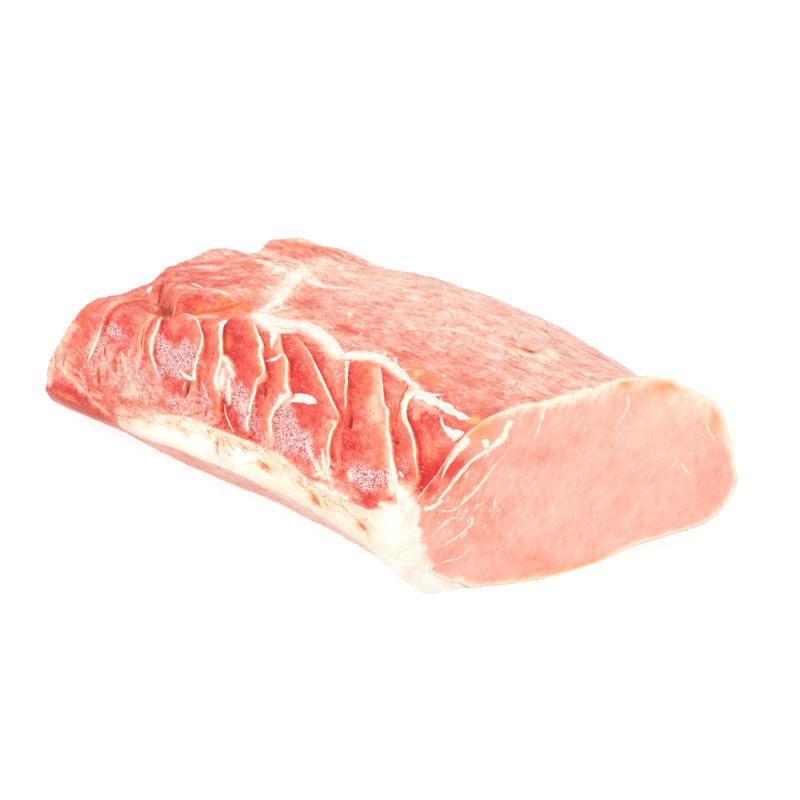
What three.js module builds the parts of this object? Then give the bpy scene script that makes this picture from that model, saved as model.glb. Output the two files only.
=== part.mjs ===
// A boneless pork loin piece: a long block of lean meat, cut across at both ends,
// with a strip of back fat let into its lower front edge.
// Millimetres, +Z up. +X runs along the loin to the near cut, -Y is the side the ribs were cut from,
// and the sole lies flat on Z = 0 with the origin under the middle of the piece.
import * as THREE from 'three';

const { smoothstep, lerp, degToRad } = THREE.MathUtils;

// The block as a whole
const LENGTH = 276; // from cut to cut
const FAR_CUT_X = -137.5; // where the far cut crosses the X axis
const CUT_SKEW = Math.tan(degToRad(10)); // both cuts are turned 10 degrees off square
const GAP = 0.3; // between the lean and the fat

// Stations round the section, from the front foot over the top and back along the sole.
// far and near are [across, up] at the two cuts; swell is added at mid-length, tuck towards the near cut.
const STATIONS = [
  { name: 'toe', far: [-67, 0], near: [-55, 1], tuck: [5, 0.5] },
  { name: 'lip', far: [-79, 7], near: [-66, 12], tuck: [5, 1] },
  { name: 'fat', far: [-79, 16], near: [-68.5, 27], tuck: [2, 0] },
  { name: 'waist', far: [-72, 28], near: [-64, 40] },
  { name: 'rib', far: [-64, 40.5], near: [-56, 49] },
  { name: 'seam', far: [-53, 49.5], near: [-42, 63], swell: [0, 4.5] },
  { name: 'brow', far: [-33, 51], near: [-17, 69], swell: [0, 8] },
  { name: 'crown', far: [8, 61], near: [23, 74], swell: [0, 8] },
  { name: 'shoulder', far: [39, 64], near: [49, 68], swell: [5, 7.5] },
  { name: 'nape', far: [64, 60], near: [69.5, 55], swell: [5, 4] },
  { name: 'back', far: [80, 42], near: [76.5, 33], swell: [2, 1] },
  { name: 'haunch', far: [75, 19], near: [75.5, 19] },
  { name: 'heel', far: [53, 5], near: [54, 8.5] },
  { name: 'sole_back', far: [18, 0], near: [17, 0] },
  { name: 'sole_front', far: [-27, 0], near: [-22, 0] },
];
const TUCK_AT = 0.75; // share of the length at which the tuck is deepest
const CUT_MIDDLE = 35; // height of the point from which the facets of a cut spread
const stationOf = (name) => STATIONS.findIndex((station) => station.name === name);

// Rib marks: overlapping pads of meat between the places where the ribs lay
const RIB_LEVEL = stationOf('rib'); // where the places below are given, in shares of the length
const RIB_AT = [-0.1, 0.09, 0.225, 0.4, 0.48, 0.56, 0.63, 0.77, 0.9, 0.985, 1.1, 1.25];
const RIB_SLANT = { far: 0.025, near: 0.11, power: 1.2, below: 0.04 }; // shares for each station passed
const RIB_RISE = 3;
const RIB_CURVE = 1.5; // how late a pad climbs
const RIB_SET_IN = 1.5;
const RIB_DROP = 5; // length over which one pad falls to the next
const RIB_FROM = [2.6, 3.2]; // stations over which the marks come in
const RIB_TO = [5, 5.7]; // and fade out

// Cap muscle on top of the far end, with a hollow under its front lip and a flap behind it
const CAP_RISE = 7.5;
const CAP_NOSE = { along: 0.2, station: 5.35 }; // where its front edge comes lowest
const CAP_SLOPE = { far: 4.2, near: 4.6 }; // stations climbed by that edge for the whole length
const CAP_LIP = 0.3;
const CAP_END = [0.26, 0.37];
const CAP_BACK = [6.9, 7.6];
const HOLLOW = { depth: 4.5, width: 0.22, from: [0.02, 0.1], to: [0.19, 0.24] };
const FLAP = { rise: 5, front: [7.6, 7.85], back: [8.3, 9], end: [0.12, 0.26] };

// A small round knob on the top near the near cut
const KNOB = { along: 0.855, station: 6.98, rise: 2.5, length: 0.022, width: 0.13 };

// The fat strip, between a low and a high edge given in stations along the length
const FAT_TIP = 0.25; // share of the length at which it runs out
const FAT_LOW = [[0.25, 1], [0.45, 1.35], [0.72, 1.35], [0.88, 0.9], [1, -0.5]];
const FAT_HIGH = [[0.25, 1.7], [0.42, 2.6], [0.65, 2.65], [0.83, 2.15], [0.91, 2.2], [1, 3]];
const FAT_DEPTH = 8;
const FAT_BULGE = 1.4;
const FAT_BULGE_BY = 0.45; // share of the length at which the bulge is full
const FAT_NOTCH = { along: 0.535, width: 0.012, depth: 1.6 };

// Facets
const ROWS = 64;
const FAT_STEPS = 8;
const ARCS = [ // steps from one station to the next listed one, after the fat strip
  { to: 6.2, steps: 20 },
  { to: 9, steps: 12 },
  { to: 12.5, steps: 8 },
];
const SOLE_STEPS = 7;

const curveOf = (offsets) => new THREE.CatmullRomCurve3(
  offsets.map(([across, up]) => new THREE.Vector3(0, across, up)), true, 'catmullrom', 0.5);
const flat = [0, 0];
const farCurve = curveOf(STATIONS.map((station) => station.far));
const nearCurve = curveOf(STATIONS.map((station) => station.near));
const swellCurve = curveOf(STATIONS.map((station) => station.swell ?? flat));
const tuckCurve = curveOf(STATIONS.map((station) => station.tuck ?? flat));

// The value at x of a line drawn smoothly through the given [x, value] knots.
function along(knots, x) {
  const last = knots.length - 1;
  if (x <= knots[0][0]) return knots[0][1];
  if (x >= knots[last][0]) return knots[last][1];
  const next = knots.findIndex(([at]) => at > x);
  const [from, to] = [knots[next - 1], knots[next]];
  return lerp(from[1], to[1], smoothstep(x, from[0], to[0]));
}

// The bare section at share s of the length and station v: far and near outlines joined by
// straight lines, with the swell and the tuck added.
function section(s, v) {
  const turn = THREE.MathUtils.euclideanModulo(v / STATIONS.length, 1);
  const point = farCurve.getPoint(turn).lerp(nearCurve.getPoint(turn), s);
  point.addScaledVector(swellCurve.getPoint(turn), (4 * s * (1 - s)) ** 2);
  point.addScaledVector(tuckCurve.getPoint(turn), (s / TUCK_AT) ** 3 * (1 - s) / (1 - TUCK_AT));
  return point;
}

// The outward direction of the section, at right angles to its outline.
function outward(s, v) {
  const step = 0.05;
  const tangent = section(s, v + step).sub(section(s, v - step)).normalize();
  return new THREE.Vector3(0, -tangent.z, tangent.y);
}

// Pads between the rib marks: each rises towards the near end and drops sharply to the next.
function ribRelief(s, v) {
  const above = Math.max(v - RIB_LEVEL, 0);
  const below = Math.max(RIB_LEVEL - v, 0);
  const slant = lerp(RIB_SLANT.far, RIB_SLANT.near, s) * above ** RIB_SLANT.power;
  const place = s + slant - RIB_SLANT.below * below;
  const next = RIB_AT.findIndex((rib) => rib > place);
  if (next < 1) return 0;
  const [from, to] = [RIB_AT[next - 1], RIB_AT[next]];
  const climb = ((place - from) / (to - from)) ** RIB_CURVE;
  const fall = 1 - (place - from) * LENGTH / RIB_DROP;
  const fade = smoothstep(v, ...RIB_FROM) * (1 - smoothstep(v, ...RIB_TO));
  return fade * (RIB_RISE * Math.max(climb, fall) - RIB_SET_IN);
}

// The cap muscle, its hollow and the flap behind it.
function capRelief(s, v) {
  const reach = s - CAP_NOSE.along;
  const edge = CAP_NOSE.station + Math.abs(reach) * (reach < 0 ? CAP_SLOPE.far : CAP_SLOPE.near);
  const cap = smoothstep(v, edge, edge + CAP_LIP) * (1 - smoothstep(v, ...CAP_BACK))
    * (1 - smoothstep(s, ...CAP_END));
  const hollow = Math.exp(-(((v - edge) / HOLLOW.width) ** 2))
    * smoothstep(s, ...HOLLOW.from) * (1 - smoothstep(s, ...HOLLOW.to));
  const flap = smoothstep(v, ...FLAP.front) * (1 - smoothstep(v, ...FLAP.back))
    * (1 - smoothstep(s, ...FLAP.end));
  return CAP_RISE * cap - HOLLOW.depth * hollow + FLAP.rise * flap;
}

function knobRelief(s, v) {
  const off = ((s - KNOB.along) / KNOB.length) ** 2 + ((v - KNOB.station) / KNOB.width) ** 2;
  return KNOB.rise * Math.exp(-off);
}

// A point of the meat's skin, pushed out by push millimetres, never below the sole.
function skin(s, v, push = 0) {
  const height = ribRelief(s, v) + capRelief(s, v) + knobRelief(s, v) + push;
  const point = section(s, v).addScaledVector(outward(s, v), height);
  point.z = Math.max(point.z, 0);
  point.x = FAR_CUT_X + LENGTH * s + point.y * CUT_SKEW;
  return point;
}

// How thick the fat is at share s of the length and share f of the way up the strip.
function fatDepth(s, f) {
  const taper = Math.sqrt(Math.max(s - FAT_TIP, 0) / (1 - FAT_TIP));
  return FAT_DEPTH * taper * Math.sqrt(4 * f * (1 - f));
}

function fatBulge(s, f) {
  const notch = FAT_NOTCH.depth * Math.exp(-(((s - FAT_NOTCH.along) / FAT_NOTCH.width) ** 2));
  return (FAT_BULGE - notch) * smoothstep(s, FAT_TIP, FAT_BULGE_BY) * 4 * f * (1 - f);
}

// Collects points and triangles; a triangle with two corners alike is left out.
class Facets {
  points = [];
  corners = [];

  add(point) {
    this.points.push(point.x, point.y, point.z);
    return this.points.length / 3 - 1;
  }

  triangle(a, b, c) {
    if (a !== b && b !== c && c !== a) this.corners.push(a, b, c);
  }

  // The sheet between rows of point numbers, facing out where rows run to +X and columns go up the
  // front, or facing in. Both ways it is split along the same diagonals, so that sheets nest.
  sheet(rows, facesIn = false) {
    for (let i = 0; i + 1 < rows.length; i++) {
      for (let j = 0; j + 1 < rows[i].length; j++) {
        const low = [rows[i][j], rows[i + 1][j], rows[i + 1][j + 1]];
        const high = [rows[i][j], rows[i + 1][j + 1], rows[i][j + 1]];
        for (const corners of [low, high]) this.triangle(...(facesIn ? corners.reverse() : corners));
      }
    }
  }

  geometry() {
    const geometry = new THREE.BufferGeometry();
    geometry.setAttribute('position', new THREE.Float32BufferAttribute(this.points, 3));
    geometry.setIndex(this.corners);
    geometry.computeVertexNormals();
    return geometry;
  }
}

// The stations at which a row has its points: up the fat strip, over the top, and along the sole.
function stationsOfRow(s) {
  const low = along(FAT_LOW, s);
  let from = along(FAT_HIGH, s);
  const stations = [];
  for (let k = 0; k < FAT_STEPS; k++) stations.push(lerp(low, from, k / FAT_STEPS));
  for (const { to, steps } of [...ARCS, { to: STATIONS.length + low, steps: SOLE_STEPS }]) {
    for (let k = 0; k < steps; k++) stations.push(lerp(from, to, k / steps));
    from = to;
  }
  return stations;
}

// The lean block, with a recess that takes the fat strip.
function leanGeometry() {
  const facets = new Facets();
  const recess = (s, j) => (s < FAT_TIP || j > FAT_STEPS ? 0 : -GAP - fatDepth(s, j / FAT_STEPS));
  const rows = [];
  for (let i = 0; i <= ROWS; i++) {
    const s = i / ROWS;
    const row = stationsOfRow(s).map((v, j) => facets.add(skin(s, v, recess(s, j))));
    rows.push([...row, row[0]]);
  }
  facets.sheet(rows);
  const middle = new THREE.Vector3(0, 0, CUT_MIDDLE);
  const farMiddle = facets.add(middle.clone().setX(FAR_CUT_X));
  const nearMiddle = facets.add(middle.clone().setX(FAR_CUT_X + LENGTH));
  const near = rows.at(-1);
  for (let j = 0; j + 1 < near.length; j++) {
    facets.triangle(farMiddle, rows[0][j], rows[0][j + 1]);
    facets.triangle(nearMiddle, near[j + 1], near[j]);
  }
  return facets.geometry();
}

// The fat strip: an outer and an inner sheet that meet along both edges and at the tip.
function fatGeometry() {
  const facets = new Facets();
  const outer = [];
  const inner = [];
  const first = Math.ceil(FAT_TIP * ROWS);
  for (let i = first; i <= ROWS; i++) {
    const s = i / ROWS;
    const stations = stationsOfRow(s).slice(0, FAT_STEPS + 1);
    const outerRow = stations.map((v, j) => facets.add(skin(s, v, fatBulge(s, j / FAT_STEPS))));
    const innerRow = stations.map((v, j) => {
      const depth = fatDepth(s, j / FAT_STEPS);
      return depth > 0 ? facets.add(skin(s, v, -depth)) : outerRow[j];
    });
    outer.push(outerRow);
    inner.push(innerRow);
  }
  facets.sheet(outer);
  facets.sheet(inner, true);
  facets.sheet([outer.at(-1), inner.at(-1)]);
  return facets.geometry();
}

function meshOf(name, geometry, color, roughness) {
  const material = new THREE.MeshStandardMaterial({ color, roughness, metalness: 0 });
  const mesh = new THREE.Mesh(geometry, material);
  mesh.name = name;
  return mesh;
}

const group = new THREE.Group();
group.add(meshOf('lean_loin', leanGeometry(), 0xf0a48e, 0.45));
group.add(meshOf('fat_strip', fatGeometry(), 0xf8efe0, 0.4));

export default group;
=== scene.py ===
import bpy
import numpy as np
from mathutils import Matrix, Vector


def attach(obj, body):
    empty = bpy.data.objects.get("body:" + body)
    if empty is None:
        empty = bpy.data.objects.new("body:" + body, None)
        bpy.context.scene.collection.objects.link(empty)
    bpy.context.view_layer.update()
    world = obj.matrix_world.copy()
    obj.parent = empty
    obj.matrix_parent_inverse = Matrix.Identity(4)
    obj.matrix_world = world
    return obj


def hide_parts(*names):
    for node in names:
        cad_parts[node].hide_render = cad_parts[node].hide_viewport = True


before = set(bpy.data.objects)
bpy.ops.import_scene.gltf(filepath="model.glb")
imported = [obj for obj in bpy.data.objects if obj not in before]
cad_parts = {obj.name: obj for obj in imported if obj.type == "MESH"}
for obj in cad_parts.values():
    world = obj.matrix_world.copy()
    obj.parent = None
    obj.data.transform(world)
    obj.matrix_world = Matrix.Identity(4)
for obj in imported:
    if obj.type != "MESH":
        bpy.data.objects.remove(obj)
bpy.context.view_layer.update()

# The lean block
# The long back muscle of a pig with its side muscles: raw lean pork, taken off the bones and cut across
# at both ends with a knife. Its front is the side that the ribs were cut from, so it lies in overlapping
# pads, each ending in a ridge where a rib was.
MM = 0.001
LENGTH = 276.0  # from cut to cut, in millimetres like all sizes of the meat
FAR_CUT_X = -137.5
CUT_SKEW = np.tan(np.radians(10))
STATIONS = 15  # round the section, from the front foot over the top and back along the sole

FAR_SECTION = np.array([
    (-67, 0), (-79, 7), (-79, 16), (-72, 28), (-64, 40.5), (-53, 49.5), (-33, 51), (8, 61),
    (39, 64), (64, 60), (80, 42), (75, 19), (53, 5), (18, 0), (-27, 0)], float)
NEAR_SECTION = np.array([
    (-55, 1), (-66, 12), (-68.5, 27), (-64, 40), (-56, 49), (-42, 63), (-17, 69), (23, 74),
    (49, 68), (69.5, 55), (76.5, 33), (75.5, 19), (54, 8.5), (17, 0), (-22, 0)], float)
SWELL = np.zeros((STATIONS, 2))
SWELL[5:11] = (0, 4.5), (0, 8), (0, 8), (5, 7.5), (5, 4), (2, 1)
TUCK = np.zeros((STATIONS, 2))
TUCK[0:3] = (5, 0.5), (5, 1), (2, 0)
TUCK_AT = 0.75


def eased(x, low, high):
    """0 below low and 1 above high, with the cubic 3tt - 2ttt between."""
    t = np.clip((x - low) / (high - low), 0, 1)
    return t * t * (3 - 2 * t)


def bell(x, middle, width):
    """Bell curve of height 1: e to the minus square of the distance in widths."""
    return np.exp(-((x - middle) / width) ** 2)


def round_line(points, place):
    """The closed smooth line through the points, point k lying at place k: each stretch is the cubic whose
    slope at an end is half the step between that end's neighbours."""
    cell = np.floor(place).astype(int)
    t = (place - cell)[..., None]
    a, b, c, d = (points[(cell + k) % len(points)] for k in (-1, 0, 1, 2))
    return b + 0.5 * t * (c - a + t * (2 * a - 5 * b + 4 * c - d + t * (3 * (b - c) + d - a)))


def drawn(points, count=60):
    """The open smooth line through the points: the closed one over points continued past both ends."""
    points = np.array(points, float)
    longer = np.concatenate([[2 * points[0] - points[1]], points, [2 * points[-1] - points[-2]]])
    return round_line(longer, np.linspace(1, len(points) - 1e-6, count))


def section(s, v):
    """Across and up at share s of the length and station v: the far and near outlines joined by straight
    lines, plus a swell that peaks at mid-length and a tuck that peaks towards the near cut."""
    far, near, swell, tuck = (round_line(q, v) for q in (FAR_SECTION, NEAR_SECTION, SWELL, TUCK))
    s = s[..., None]
    return (far + (near - far) * s + swell * (4 * s * (1 - s)) ** 2
            + tuck * (s / TUCK_AT) ** 3 * (1 - s) / (1 - TUCK_AT))


def outward(s, v):
    """The outline's outward direction: its tangent turned by a quarter."""
    step = 0.05
    tangent = section(s, v + step) - section(s, v - step)
    tangent /= np.linalg.norm(tangent, axis=-1, keepdims=True)
    return np.stack([-tangent[..., 1], tangent[..., 0]], axis=-1)


# How far round the section each station lies, measured on the section at mid-length
LADDER = np.linspace(0, STATIONS, 1501)
GIRTH = section(np.full(LADDER.shape, 0.5), LADDER)
GIRTH = np.concatenate([[0], np.cumsum(np.linalg.norm(np.diff(GIRTH, axis=0), axis=1))])


def flat(s, v):
    """The skin laid out flat: millimetres along the loin and millimetres round it."""
    return np.stack([LENGTH * s, np.interp(np.mod(v, STATIONS), LADDER, GIRTH)], axis=-1)


def lumps(s, v, along, around):
    """Even bumps from -1 to 1 of about that size: random heights on a lattice that closes round the loin,
    with the eased curve between neighbours."""
    rows, columns = int(LENGTH / along) + 2, int(GIRTH[-1] / around)
    heights = np.random.default_rng(rows * columns).uniform(-1, 1, (rows, columns))
    place = flat(s, v) / (along, GIRTH[-1] / columns)
    cell = np.floor(place).astype(int)
    t = eased(place - cell, 0, 1)
    i, j = cell[..., 0], cell[..., 1]
    low = heights[i, j % columns] * (1 - t[..., 0]) + heights[i + 1, j % columns] * t[..., 0]
    high = heights[i, (j + 1) % columns] * (1 - t[..., 0]) + heights[i + 1, (j + 1) % columns] * t[..., 0]
    return low * (1 - t[..., 1]) + high * t[..., 1]


def spot(s, v, share, station, along, around, slant):
    """A bell-shaped spot of height 1 at a share and station, that many millimetres along and round the loin,
    and sheared along the flat skin by its slant."""
    off = flat(s, v) - flat(np.array(share), np.array(station))
    sheared = (off[..., 0] - slant * off[..., 1]) / along
    return np.exp(-sheared ** 2 - (off[..., 1] / around) ** 2)


def spots(s, v, places):
    """The strongest at each point of spots given as the values of one, followed by its strength if not 1."""
    return np.max([spot(s, v, *place[:5]) * (place[5] if len(place) > 5 else 1) for place in places], axis=0)


# Rib marks from the far cut to the near one, each as (share of the length, station) from the top down
RIB_MARKS = [
    [(0.045, 5.8), (0.065, 5.0), (0.085, 4.4), (0.095, 4.05), (0.106, 3.7), (0.108, 3.4), (0.105, 2.5)],
    [(0.175, 5.8), (0.185, 5.2), (0.20, 4.75), (0.209, 4.5), (0.219, 4.3), (0.23, 4.1), (0.25, 3.6),
     (0.27, 2.5)],
    [(0.20, 5.8), (0.205, 5.2), (0.233, 4.75), (0.246, 4.5), (0.249, 4.3), (0.258, 4.1), (0.277, 3.9),
     (0.325, 3.5), (0.37, 2.5)],
    [(0.28, 5.8), (0.32, 5.15), (0.355, 4.9), (0.378, 4.65), (0.385, 4.5), (0.388, 4.3), (0.395, 4.15),
     (0.41, 3.85), (0.44, 3.3), (0.47, 2.5)],
    [(0.33, 5.8), (0.366, 5.36), (0.405, 4.95), (0.43, 4.7), (0.445, 4.5), (0.449, 4.25), (0.465, 4.0),
     (0.485, 3.8), (0.50, 3.5), (0.54, 2.5)],
    [(0.387, 5.8), (0.44, 5.5), (0.484, 5.22), (0.508, 5.08), (0.525, 4.87), (0.545, 4.7),
     (0.564, 4.55), (0.565, 4.45), (0.557, 4.3), (0.558, 4.15), (0.57, 3.85), (0.581, 3.6),
     (0.60, 3.05), (0.63, 2.5)],
    [(0.462, 5.8), (0.51, 5.45), (0.552, 5.15), (0.58, 5.0), (0.604, 4.78), (0.627, 4.5), (0.643, 4.38),
     (0.632, 4.15), (0.63, 3.85), (0.643, 3.5), (0.663, 3.1), (0.68, 2.5)],
    [(0.49, 5.8), (0.57, 5.48), (0.635, 5.15), (0.68, 4.9), (0.725, 4.64), (0.765, 4.38), (0.771, 4.15),
     (0.777, 3.8), (0.80, 3.3), (0.82, 2.8), (0.83, 2.5)],
    [(0.632, 5.8), (0.678, 5.5), (0.718, 5.12), (0.748, 4.82), (0.77, 4.5), (0.781, 4.28),
     (0.787, 4.05), (0.80, 3.8), (0.815, 3.45), (0.85, 2.5)],
    [(0.71, 5.8), (0.76, 5.47), (0.80, 5.15), (0.827, 4.93), (0.845, 4.85), (0.857, 4.7), (0.872, 4.53),
     (0.892, 4.3), (0.913, 4.05), (0.925, 3.88), (0.938, 3.7), (0.951, 3.5), (0.96, 3.25), (0.967, 2.5)],
    [(0.80, 5.8), (0.845, 5.35), (0.861, 5.08), (0.885, 4.84), (0.91, 4.68), (0.936, 4.46),
     (0.955, 4.22), (0.975, 3.95), (0.988, 3.65), (0.99, 2.5)],
]
# The pads, from the far cut on: the change of tone, below 0 redder, then how much painted light, orange
# and pale, each has towards its ridge, and over how many millimetres
PAD_TONES = [0.04, 0.0, 0.12, -0.08, 0.06, -0.16, 0.02, -0.06, -0.1, 0.08, 0.1, 0.0]
RIDGE_LIGHT_SHARES = [0.3, 1, 0.5, 0.6, 0.6, 0.8, 0.9, 0.5, 0.3, 1, 0.6, 0]
RIDGE_LIGHT_WIDTHS = [2.5, 3, 2.5, 3, 4, 4, 5, 3, 2, 6, 3, 3]
PAD_RISE = 2.4
PAD_WIDE = 16.0  # pads at least this wide rise fully
PAD_RISE_LEAST = 0.35  # share of the rise that the narrowest pads keep
PAD_CURVE = 1.5  # how late a pad climbs
PAD_ROLL = 0.5  # how far it rolls down again just before its ridge
PAD_DROP = 0.9  # length over which a pad falls to the next
PAD_FOOT = 2.5  # station of the foot of the pads towards the near cut
FAR_FOOT_RISE = 0.6  # how much higher it lies towards the far cut
FOOT_FADE = 0.55
PAD_TOP = (5, 5.7)  # stations where the pads fade out on top
BEYOND = 0.1  # how far past the cuts the first and last pads would have reached, as a share
MARKS_BEGIN = (2.3, 3.0)  # stations where the marks leave and regain their straight lines
MARKS_END = (5.6, 8.5)
RIB_LEVEL = 4.0
MARK_LINES = [drawn(mark)[::-1] for mark in RIB_MARKS]
MARKS_AT_REST = np.array([np.interp(RIB_LEVEL, line[:, 1], line[:, 0]) for line in MARK_LINES])


def marks_at(v):
    """Share of the length of each mark at station v. Away from the rib side the marks, no longer seen, ease
    back to straight lines round the loin."""
    shown = eased(v, *MARKS_BEGIN) * (1 - eased(v, *MARKS_END))
    rest = MARKS_AT_REST.reshape(-1, *[1] * v.ndim)
    lines = np.stack([np.interp(v, line[:, 1], line[:, 0]) for line in MARK_LINES])
    return rest + shown * (lines - rest)


def pad_of(s, v):
    """The number of the pad at a point, and the shares of the length of the marks before and after it."""
    marks = marks_at(v)
    number = (s >= marks).sum(axis=0)
    edges = np.concatenate([np.full((1, *v.shape), -BEYOND), marks, np.full((1, *v.shape), 1 + BEYOND)])
    before = np.take_along_axis(edges, number[None], axis=0)[0]
    after = np.take_along_axis(edges, number[None] + 1, axis=0)[0]
    return number, before, after


def above_foot(s, v):
    """1 on the rib side, easing to 0 at the foot of the pads, which lies higher towards the far cut."""
    foot = PAD_FOOT + FAR_FOOT_RISE * (1 - eased(s, 0.28, 0.42))
    return eased(v, foot, foot + FOOT_FADE)


def pad_relief(s, v):
    """Pads between the marks: each climbs by a power of the share of its width, narrow ones less, and rolls
    down a little just before its ridge."""
    _, before, after = pad_of(s, v)
    climb = np.clip((s - before) / (after - before), 0, 1) ** PAD_CURVE
    rise = PAD_RISE * np.clip((after - before) * LENGTH / PAD_WIDE, PAD_RISE_LEAST, 1)
    rolled = PAD_ROLL * eased(climb, 0.9, 1)
    return above_foot(s, v) * (1 - eased(v, *PAD_TOP)) * (rise * (climb - 0.5) - rolled)


# A muscle that lies on top of the far end, with a hollow under its front lip and a flap behind it. A front or
# back is a pair of stations and a start or end a pair of shares, between which the form rises or falls.
CAP_RISE = 7.5
CAP_NOSE = (0.2, 5.35)
CAP_SLOPES = (4.2, 4.6)  # stations that its edge climbs for each share, towards the far and the near cut
CAP_STEP = 0.3
CAP_BACK = (6.9, 7.6)
CAP_END = (0.26, 0.37)
HOLLOW_DEPTH = 6.0
HOLLOW_WIDTH = 0.22
HOLLOW_START = (0.02, 0.1)
HOLLOW_END = (0.19, 0.24)
FLAP_RISE = 5.0
FLAP_FRONT = (7.6, 7.85)
FLAP_BACK = (8.3, 9)
FLAP_END = (0.12, 0.26)


def cap_edge(s):
    """The station of the cap's front edge: lowest at its nose, and climbing evenly to both sides."""
    reach = s - CAP_NOSE[0]
    return CAP_NOSE[1] + np.abs(reach) * np.where(reach < 0, *CAP_SLOPES)


def cap_relief(s, v):
    """The cap is a raised sheet behind its edge, the hollow a groove along it, the flap a second sheet."""
    edge = cap_edge(s)
    cap = eased(v, edge, edge + CAP_STEP) * (1 - eased(v, *CAP_BACK)) * (1 - eased(s, *CAP_END))
    hollow = bell(v, edge, HOLLOW_WIDTH) * eased(s, *HOLLOW_START) * (1 - eased(s, *HOLLOW_END))
    flap = eased(v, *FLAP_FRONT) * (1 - eased(v, *FLAP_BACK)) * (1 - eased(s, *FLAP_END))
    return CAP_RISE * cap - HOLLOW_DEPTH * hollow + FLAP_RISE * flap


KNOB = (0.855, 6.98)
KNOB_SIZE = (0.014, 0.09)
KNOB_RISE = 3.0
CUT_ROUNDING = 0.8
BACK_DIP = 4.5  # how much lower the back of the top lies behind the rim of the near cut
RUFFLE = 0.6
WRINKLE = 0.6
BUMPS = [(0.35, 22, 9), (0.22, 9, 4), (0.12, 3, 2)]  # height, length and width of the uneven bumps
# Low swellings and hollows, each a spot followed by its height
SWELLINGS = [
    (0.34, 8.2, 24, 14, 0, 1.8), (0.19, 8.2, 14, 11, 0, -1.5), (0.0, 6.6, 14, 8, 0, -1.6),
    (0.0, 6.1, 14, 14, 0, 2.8), (0.61, 0.6, 12, 6, 0, -3.0), (0.75, 0.5, 30, 6, 0, -1.5),
    (0.0, 3.6, 18, 24, 0, 1.4), (0.0, 1.6, 10, 8, 0, -1.8), (0.06, 6.9, 14, 9, 0, -1.8),
    (0.05, 8.07, 8, 8, 0, -1.5), (0.82, 8.0, 16, 10, 0, 1.5), (1.0, 7.65, 8, 18, 0, 2.4),
    (0.02, 6.42, 8, 5, 0, -1.5), (1.0, 5.65, 8, 12, 0, 2.5), (0.22, 0.5, 34, 8, 0, -1.5),
    (0.58, 0.5, 40, 8, 0, -1.2),
]


def wrinkles(s, v):
    """Wrinkles along the loin, about -1 to 1, on top and at the back: long bumps of two sizes."""
    turn = np.mod(v, STATIONS)
    wrinkled = eased(turn, 5.6, 6.2) * (1 - eased(turn, 10.5, 12))
    return wrinkled * (0.6 * lumps(s, v, 13, 3.6) + 0.4 * lumps(s, v, 6, 2.4))


def relief(s, v):
    """How far the skin stands off the plain section: pads, cap and knob, rounding at the cuts, a dip and low
    swellings, uneven bumps of three sizes, a ruffled upper rim at the near cut, and wrinkles on top."""
    turn = np.mod(v, STATIONS)
    knob = KNOB_RISE * bell(s, KNOB[0], KNOB_SIZE[0]) * bell(turn, KNOB[1], KNOB_SIZE[1])
    to_cut = np.clip(np.minimum(s, 1 - s) * LENGTH / CUT_ROUNDING, 0, 1)
    rounding = CUT_ROUNDING * (np.sqrt(1 - (1 - to_cut) ** 2) - 1)
    dip = BACK_DIP * bell(turn, 8.35, 1.0) * eased(s, 0.64, 0.94) * (1 - eased(s, 0.974, 0.998))
    swollen = sum(height * spot(s, v, *place) for *place, height in SWELLINGS)
    upper_rim = eased(s, 0.95, 0.99) * eased(turn, 5, 6) * (1 - eased(turn, 9.5, 10.5))
    ruffled = RUFFLE * lumps(s, v, 20, 8) * upper_rim
    uneven = sum(height * lumps(s, v, along, around) for height, along, around in BUMPS)
    plain = pad_relief(s, turn) + cap_relief(s, turn) + knob + rounding - dip + swollen
    return plain + uneven + ruffled + WRINKLE * wrinkles(s, v)


def skin(s, v, height):
    """A point of the skin: the section pushed outwards by a height, never below the sole, and sheared so that
    both cuts stand 10 degrees off square."""
    place = section(s, v) + outward(s, v) * height[..., None]
    across = place[..., 0]
    up = np.maximum(place[..., 1], 0)
    return np.stack([FAR_CUT_X + LENGTH * s + across * CUT_SKEW, across, up], axis=-1)


# The groove that takes the fat strip, between a low and a high edge given as (share, station)
FAT_TIP = 0.25
FAT_LOW = np.array([(0.25, 1), (0.45, 1.35), (0.72, 1.35), (0.88, 0.9), (1, -0.5)])
FAT_HIGH = np.array([(0.25, 1.7), (0.42, 2.6), (0.65, 2.65), (0.83, 2.15), (0.91, 2.2), (1, 3)])
FAT_DEPTH = 8.0
FAT_COLUMNS = 24
FAT_GAP = 0.05


def eased_through(knots, x):
    """The value at x of a line through the knots that leaves and reaches each of them level."""
    last = len(knots) - 2
    cell = np.clip(np.searchsorted(knots[:, 0], x, side="right") - 1, 0, last)
    low, high = knots[cell], knots[cell + 1]
    return low[..., 1] + (high - low)[..., 1] * eased(x, low[..., 0], high[..., 0])


def fat_depth(s, f):
    """Thickness of the fat at share f of its height: half an ellipse with a wavy inner side, which thins
    with the square root of the distance to the tip."""
    taper = np.sqrt(np.clip((s - FAT_TIP) / (1 - FAT_TIP), 0, 1))
    wave = 1 + 0.1 * np.sin(34 * f + 2) + 0.06 * np.sin(61 * f)  # two waves over its height
    return FAT_DEPTH * taper * wave * np.sqrt(np.clip(4 * f * (1 - f), 0, 1))


# The grid of the skin: rows run round the loin, along the rib marks where those show, and columns along it
ROWS = 300
PAD_ROWS_LEAST = 9
ARCS = [(6.2, 112), (9.0, 80), (12.5, 24)]  # columns up to each station, after those of the fat
SOLE_COLUMNS = 24
RINGS = 28  # from the rim of a cut to its middle
CUT_MIDDLE = 35.0

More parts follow.
